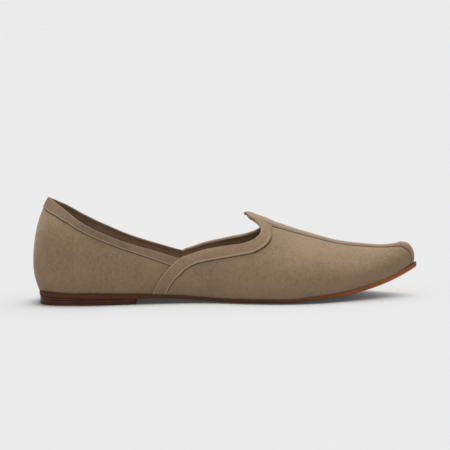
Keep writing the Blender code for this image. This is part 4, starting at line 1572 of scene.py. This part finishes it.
@dataclass
class Bottom:
    """Outsole, heel and sock: plates between stacked half outlines of the sole."""

    last: Last
    heel_breast: float = 0.2713
    heel_inset: float = 0.5
    top_piece: float = 2.0
    lift: float = 1.75
    joint: float = 0.12
    layer_round: float = 0.22
    worn_blend: float = 0.06
    worn_end: float = 0.85
    worn_end_blend: float = 0.14
    sock_thickness: float = 2.0
    sock_inset: float = 2.2
    stations: int = 260
    heel_stations: int = 110

    def outline(self, rows: np.ndarray, width: float, end: float, count: int, inset: float) -> np.ndarray:
        """Half outline from the heel to a length share, evenly walked and drawn in along its normal."""
        rows = Spline(rows).dense(OUTLINE_POINTS)
        rows = np.stack([rows[:, 0] * self.last.length, np.maximum(rows[:, 1], 0) * width / 2], axis=-1)
        ahead = np.gradient(rows, axis=0)
        ahead /= np.linalg.norm(ahead, axis=1, keepdims=True)
        rows = rows + inset * np.stack([ahead[:, 1], -ahead[:, 0]], axis=-1)
        rows = rows[(rows[:, 1] >= 0) & (rows[:, 0] <= end * self.last.length)]
        length = travelled(rows)
        return read_at(np.linspace(0, length[-1], count), length, rows)

    def plate(self, layers: list[tuple[np.ndarray, np.ndarray, float]], square: bool = False) -> Surface:
        """A plate whose rings walk from the middle of its underside out, up its edge and back along its top.

        Args:
            layers: Outline, height at every station, and seam mark, from the underside's edge to the top's.
            square: True where the front is a flat face, as at the heel's breast.

        Returns:
            Both sides as one surface.
        """
        bottom, top = layers[0], layers[-1]
        inner = (0.0, 0.3, 0.6, 0.85)
        ring = [(bottom[0] * (1, share), bottom[1], 0.0) for share in inner]
        ring += layers
        ring += [(top[0] * (1, share), top[1], 0.0) for share in inner[::-1]]
        rings = [np.concatenate([half, height[:, None]], axis=1) for half, height, _ in ring]
        points = np.stack(rings, axis=1)
        points[0, :, 1] = 0
        if not square:
            points[-1, :, 1] = 0
        seam = np.array([mark for _, _, mark in ring])
        return Surface.loops(points, {"seam": seam}, True, True).both_sides()

    def outsole(self) -> Surface:
        """The sole, its edge slightly crowned, and worn round underneath between the heel and the toe."""
        layers = []
        for inset, share, worn, mark in OUTSOLE_EDGE:
            half = self.outline(SOLE_OUTLINE, self.last.sole_width, 1, self.stations, inset)
            along = half[:, 0] / self.last.length
            worn = worn * ease((along - self.heel_breast) / self.worn_blend)
            worn = worn * ease((self.worn_end - along) / self.worn_end_blend)
            height = self.last.underside(along) + (share + worn) * self.last.outsole_thickness
            layers.append((half, height, mark))
        return self.plate(layers)

    def heel_layer(self, floor: float, ceiling: float | None) -> Surface:
        """A layer of the heel with rounded edges, dark in its joints.

        Args:
            floor: Height of its underside.
            ceiling: Height of its top, or None for the uppermost layer, whose top follows the sole.

        Returns:
            Both sides as one surface.
        """
        round_it = self.layer_round
        # inset, distance from the layer's underside or top, seam mark
        rows = ((round_it, 0, 1.0), (round_it * 0.3, round_it * 0.3, 0.5), (0, round_it, 0))
        layers = []
        for upper in (False, True):
            for inset, step, mark in rows[::-1] if upper else rows:
                sizes = (self.last.sole_width, self.heel_breast, self.heel_stations, self.heel_inset + inset)
                half = self.outline(SOLE_OUTLINE, *sizes)
                if not upper:
                    height = np.full(len(half), floor + step)
                elif ceiling is None:
                    height = self.last.underside(half[:, 0] / self.last.length) - step
                else:
                    height = np.full(len(half), ceiling - step)
                layers.append((half, height, mark))
        return self.plate(layers, square=True)

    def sock(self) -> Surface:
        """The sock inside the wall, with a soft edge."""
        foot = np.array(SECTIONS)[:, :2]
        layers = []
        # inset in millimetres, share of the thickness
        for inset, share in ((0.0, -0.1), (0.0, 0.6), (0.3, 0.9), (1.0, 1.0)):
            half = self.outline(foot, self.last.ball_width, 1, self.stations, self.sock_inset + inset)
            height = self.last.foot_line(half[:, 0] / self.last.length) + share * self.sock_thickness
            layers.append((half, height, 0.0))
        return self.plate(layers)

    def pieces(self) -> list[Piece]:
        """Sole, three heel layers and sock."""
        stack = StackedLeather()
        top_piece = StackedLeather(name="top_piece_leather", slot="top_piece_leather", rough=0.5)
        lift = self.top_piece + self.joint
        middle = lift + self.lift
        upper = self.heel_layer(middle + self.joint, None)
        crisp = Smoothing.CRISP
        return [
            Piece("sole", self.outsole(), SoleLeather(), ("outsole",)),
            Piece("heel_top", self.heel_layer(0.0, self.top_piece), top_piece, ("heel_top_piece",), crisp),
            Piece("heel_lift_lower", self.heel_layer(lift, middle), stack, ("heel_lift",), crisp),
            Piece("heel_lift_upper", upper, stack, ("heel_lift",), crisp),
            Piece("sock", self.sock(), Lining(name="sock_leather"), ("insole",)),
        ]


@dataclass(frozen=True)
class Studio:
    """A pale even floor under an even sky, a lamp for the floor and one for the shoe, and the camera.

    The floor has a lamp of its own, whose light only the sole and the heel block, because the photograph's
    shadow is tight beside the tall upper and yet soft under the toe.
    """

    backdrop: float = 0.831
    floor_shade: float = 0.21
    floor_glow: float = 0.05
    floor_radius: float = 12.0
    floor_corners: int = 96
    floor_grain: float = 0.0004
    floor_lamp_softness: float = math.radians(84)
    floor_lamp_direction: tuple = (0.6, 0.62, 1.0)
    floor_blockers: tuple = ("sole", "heel_top", "heel_lift_lower", "heel_lift_upper")
    shoe_lamp_energy: float = 2.73
    shoe_lamp_softness: float = math.radians(32)
    shoe_lamp_direction: tuple = (-0.06, 0.30, 1.0)
    distance: float = 1.6
    target: tuple = (0.00105, 0.0, 0.05522)
    azimuth: float = math.radians(1.5)
    elevation: float = math.radians(6.3)
    roll: float = math.radians(1.3)
    metres_per_pixel: float = 0.0007546
    frame_pixels: int = 450
    sensor: float = 36.0

    def floor(self) -> bpy.types.Object:
        """A round sheet as bright as the sky where nothing shades it."""
        angle = np.linspace(0, 2 * math.pi, self.floor_corners + 1)[:-1]
        rim = np.stack([np.cos(angle), np.sin(angle), angle * 0], -1) * self.floor_radius
        mesh = bpy.data.meshes.new("floor")
        mesh.from_pydata(rim.tolist(), [], [list(range(len(rim)))])
        graph = Graph("floor")
        grain = graph.noise(0.4, 2) * self.floor_grain + self.floor_shade
        shade = graph.node("ShaderNodeCombineColor", {}, {0: grain, 1: grain, 2: grain})
        matt = {"Roughness": 1.0, "Specular_IOR_Level": 0.0}
        glow = {"Emission_Color": (1, 1, 1, 1), "Emission_Strength": self.floor_glow}
        mesh.materials.append(graph.wear(Base_Color=shade, **matt, **glow))
        obj = bpy.data.objects.new("floor", mesh)
        bpy.context.scene.collection.objects.link(obj)
        return obj

    def sky(self) -> None:
        """An even sky in the backdrop's shade."""
        world = bpy.data.worlds.new("sky")
        world.use_nodes = True
        background = world.node_tree.nodes["Background"]
        background.inputs["Color"].default_value = (self.backdrop, self.backdrop, self.backdrop, 1)
        bpy.context.scene.world = world

    def lamp(self, name: str, energy: float, softness: float, direction: tuple) -> bpy.types.Object:
        """A sun.

        Args:
            name: Its name.
            energy: Its strength.
            softness: The angle it fills, in radians.
            direction: The direction it shines from.

        Returns:
            The lamp.
        """
        light = bpy.data.lights.new(name, "SUN")
        light.angle = softness
        light.energy = energy
        obj = bpy.data.objects.new(name, light)
        obj.rotation_euler = Vector(direction).to_track_quat("Z", "Y").to_euler()
        bpy.context.scene.collection.objects.link(obj)
        return obj

    def linked(
        self, name: str, objects: list[bpy.types.Object], state: str = "INCLUDE"
    ) -> bpy.types.Collection:
        """A collection for a lamp: these objects alone, or all but them where state is EXCLUDE."""
        group = bpy.data.collections.new(name)
        for obj in objects:
            group.objects.link(obj)
        for member in group.collection_objects:
            member.light_linking.link_state = state
        return group

    def lights(self, floor: bpy.types.Object) -> None:
        """The sky and two lamps. The floor's own makes up what its shade takes away."""
        self.sky()
        down = Vector(self.floor_lamp_direction).normalized().z
        missing = ((self.backdrop - self.floor_glow) / self.floor_shade - self.backdrop) / down
        over = self.lamp("floor_lamp", missing * math.pi, self.floor_lamp_softness, self.floor_lamp_direction)
        over.light_linking.receiver_collection = self.linked("floor_alone", [floor])
        blockers = [bpy.data.objects[name] for name in self.floor_blockers]
        over.light_linking.blocker_collection = self.linked("what_shades_the_floor", blockers)
        key = self.lamp("shoe_lamp", self.shoe_lamp_energy, self.shoe_lamp_softness, self.shoe_lamp_direction)
        key.light_linking.receiver_collection = self.linked("all_but_the_floor", [floor], "EXCLUDE")

    def camera(self) -> None:
        """The camera, rolled a little, whose lens gives the photograph's scale at the shoe's middle plane."""
        azimuth, elevation, roll = self.azimuth, self.elevation, self.roll
        flat = math.cos(elevation)
        back = Vector((math.sin(azimuth) * flat, -math.cos(azimuth) * flat, math.sin(elevation)))
        right = Vector((math.cos(azimuth), math.sin(azimuth), 0))
        up = back.cross(right)
        across = right * math.cos(roll) - up * math.sin(roll)
        upward = up * math.cos(roll) + right * math.sin(roll)
        data = bpy.data.cameras.new("camera")
        data.sensor_width = self.sensor
        data.lens = self.distance / self.metres_per_pixel * self.sensor / self.frame_pixels
        data.clip_end = 100
        obj = bpy.data.objects.new("camera", data)
        turn = Matrix((across, upward, back)).transposed()
        obj.matrix_world = Matrix.Translation(Vector(self.target) + back * self.distance) @ turn.to_4x4()
        bpy.context.scene.collection.objects.link(obj)
        bpy.context.scene.camera = obj

    def build(self) -> None:
        """Floor, lights, camera, and plain colours without a film look."""
        self.lights(self.floor())
        self.camera()
        bpy.context.scene.view_settings.view_transform = "Standard"


def main() -> None:
    """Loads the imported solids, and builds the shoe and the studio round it."""
    logging.basicConfig(level=logging.INFO, format="%(message)s")
    for obj in list(bpy.data.objects):
        bpy.data.objects.remove(obj)
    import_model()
    last = Last()
    lines = Lines(last)
    upper = Upper(lines)
    bands = Bands(lines, upper)
    strip = CentreStrip(lines)
    for assembly in (Bottom(last), upper, bands, strip, Stitching(bands, strip)):
        for piece in assembly.pieces():
            piece.make(last)
    Studio().build()


if __name__ == "__main__":
    main()
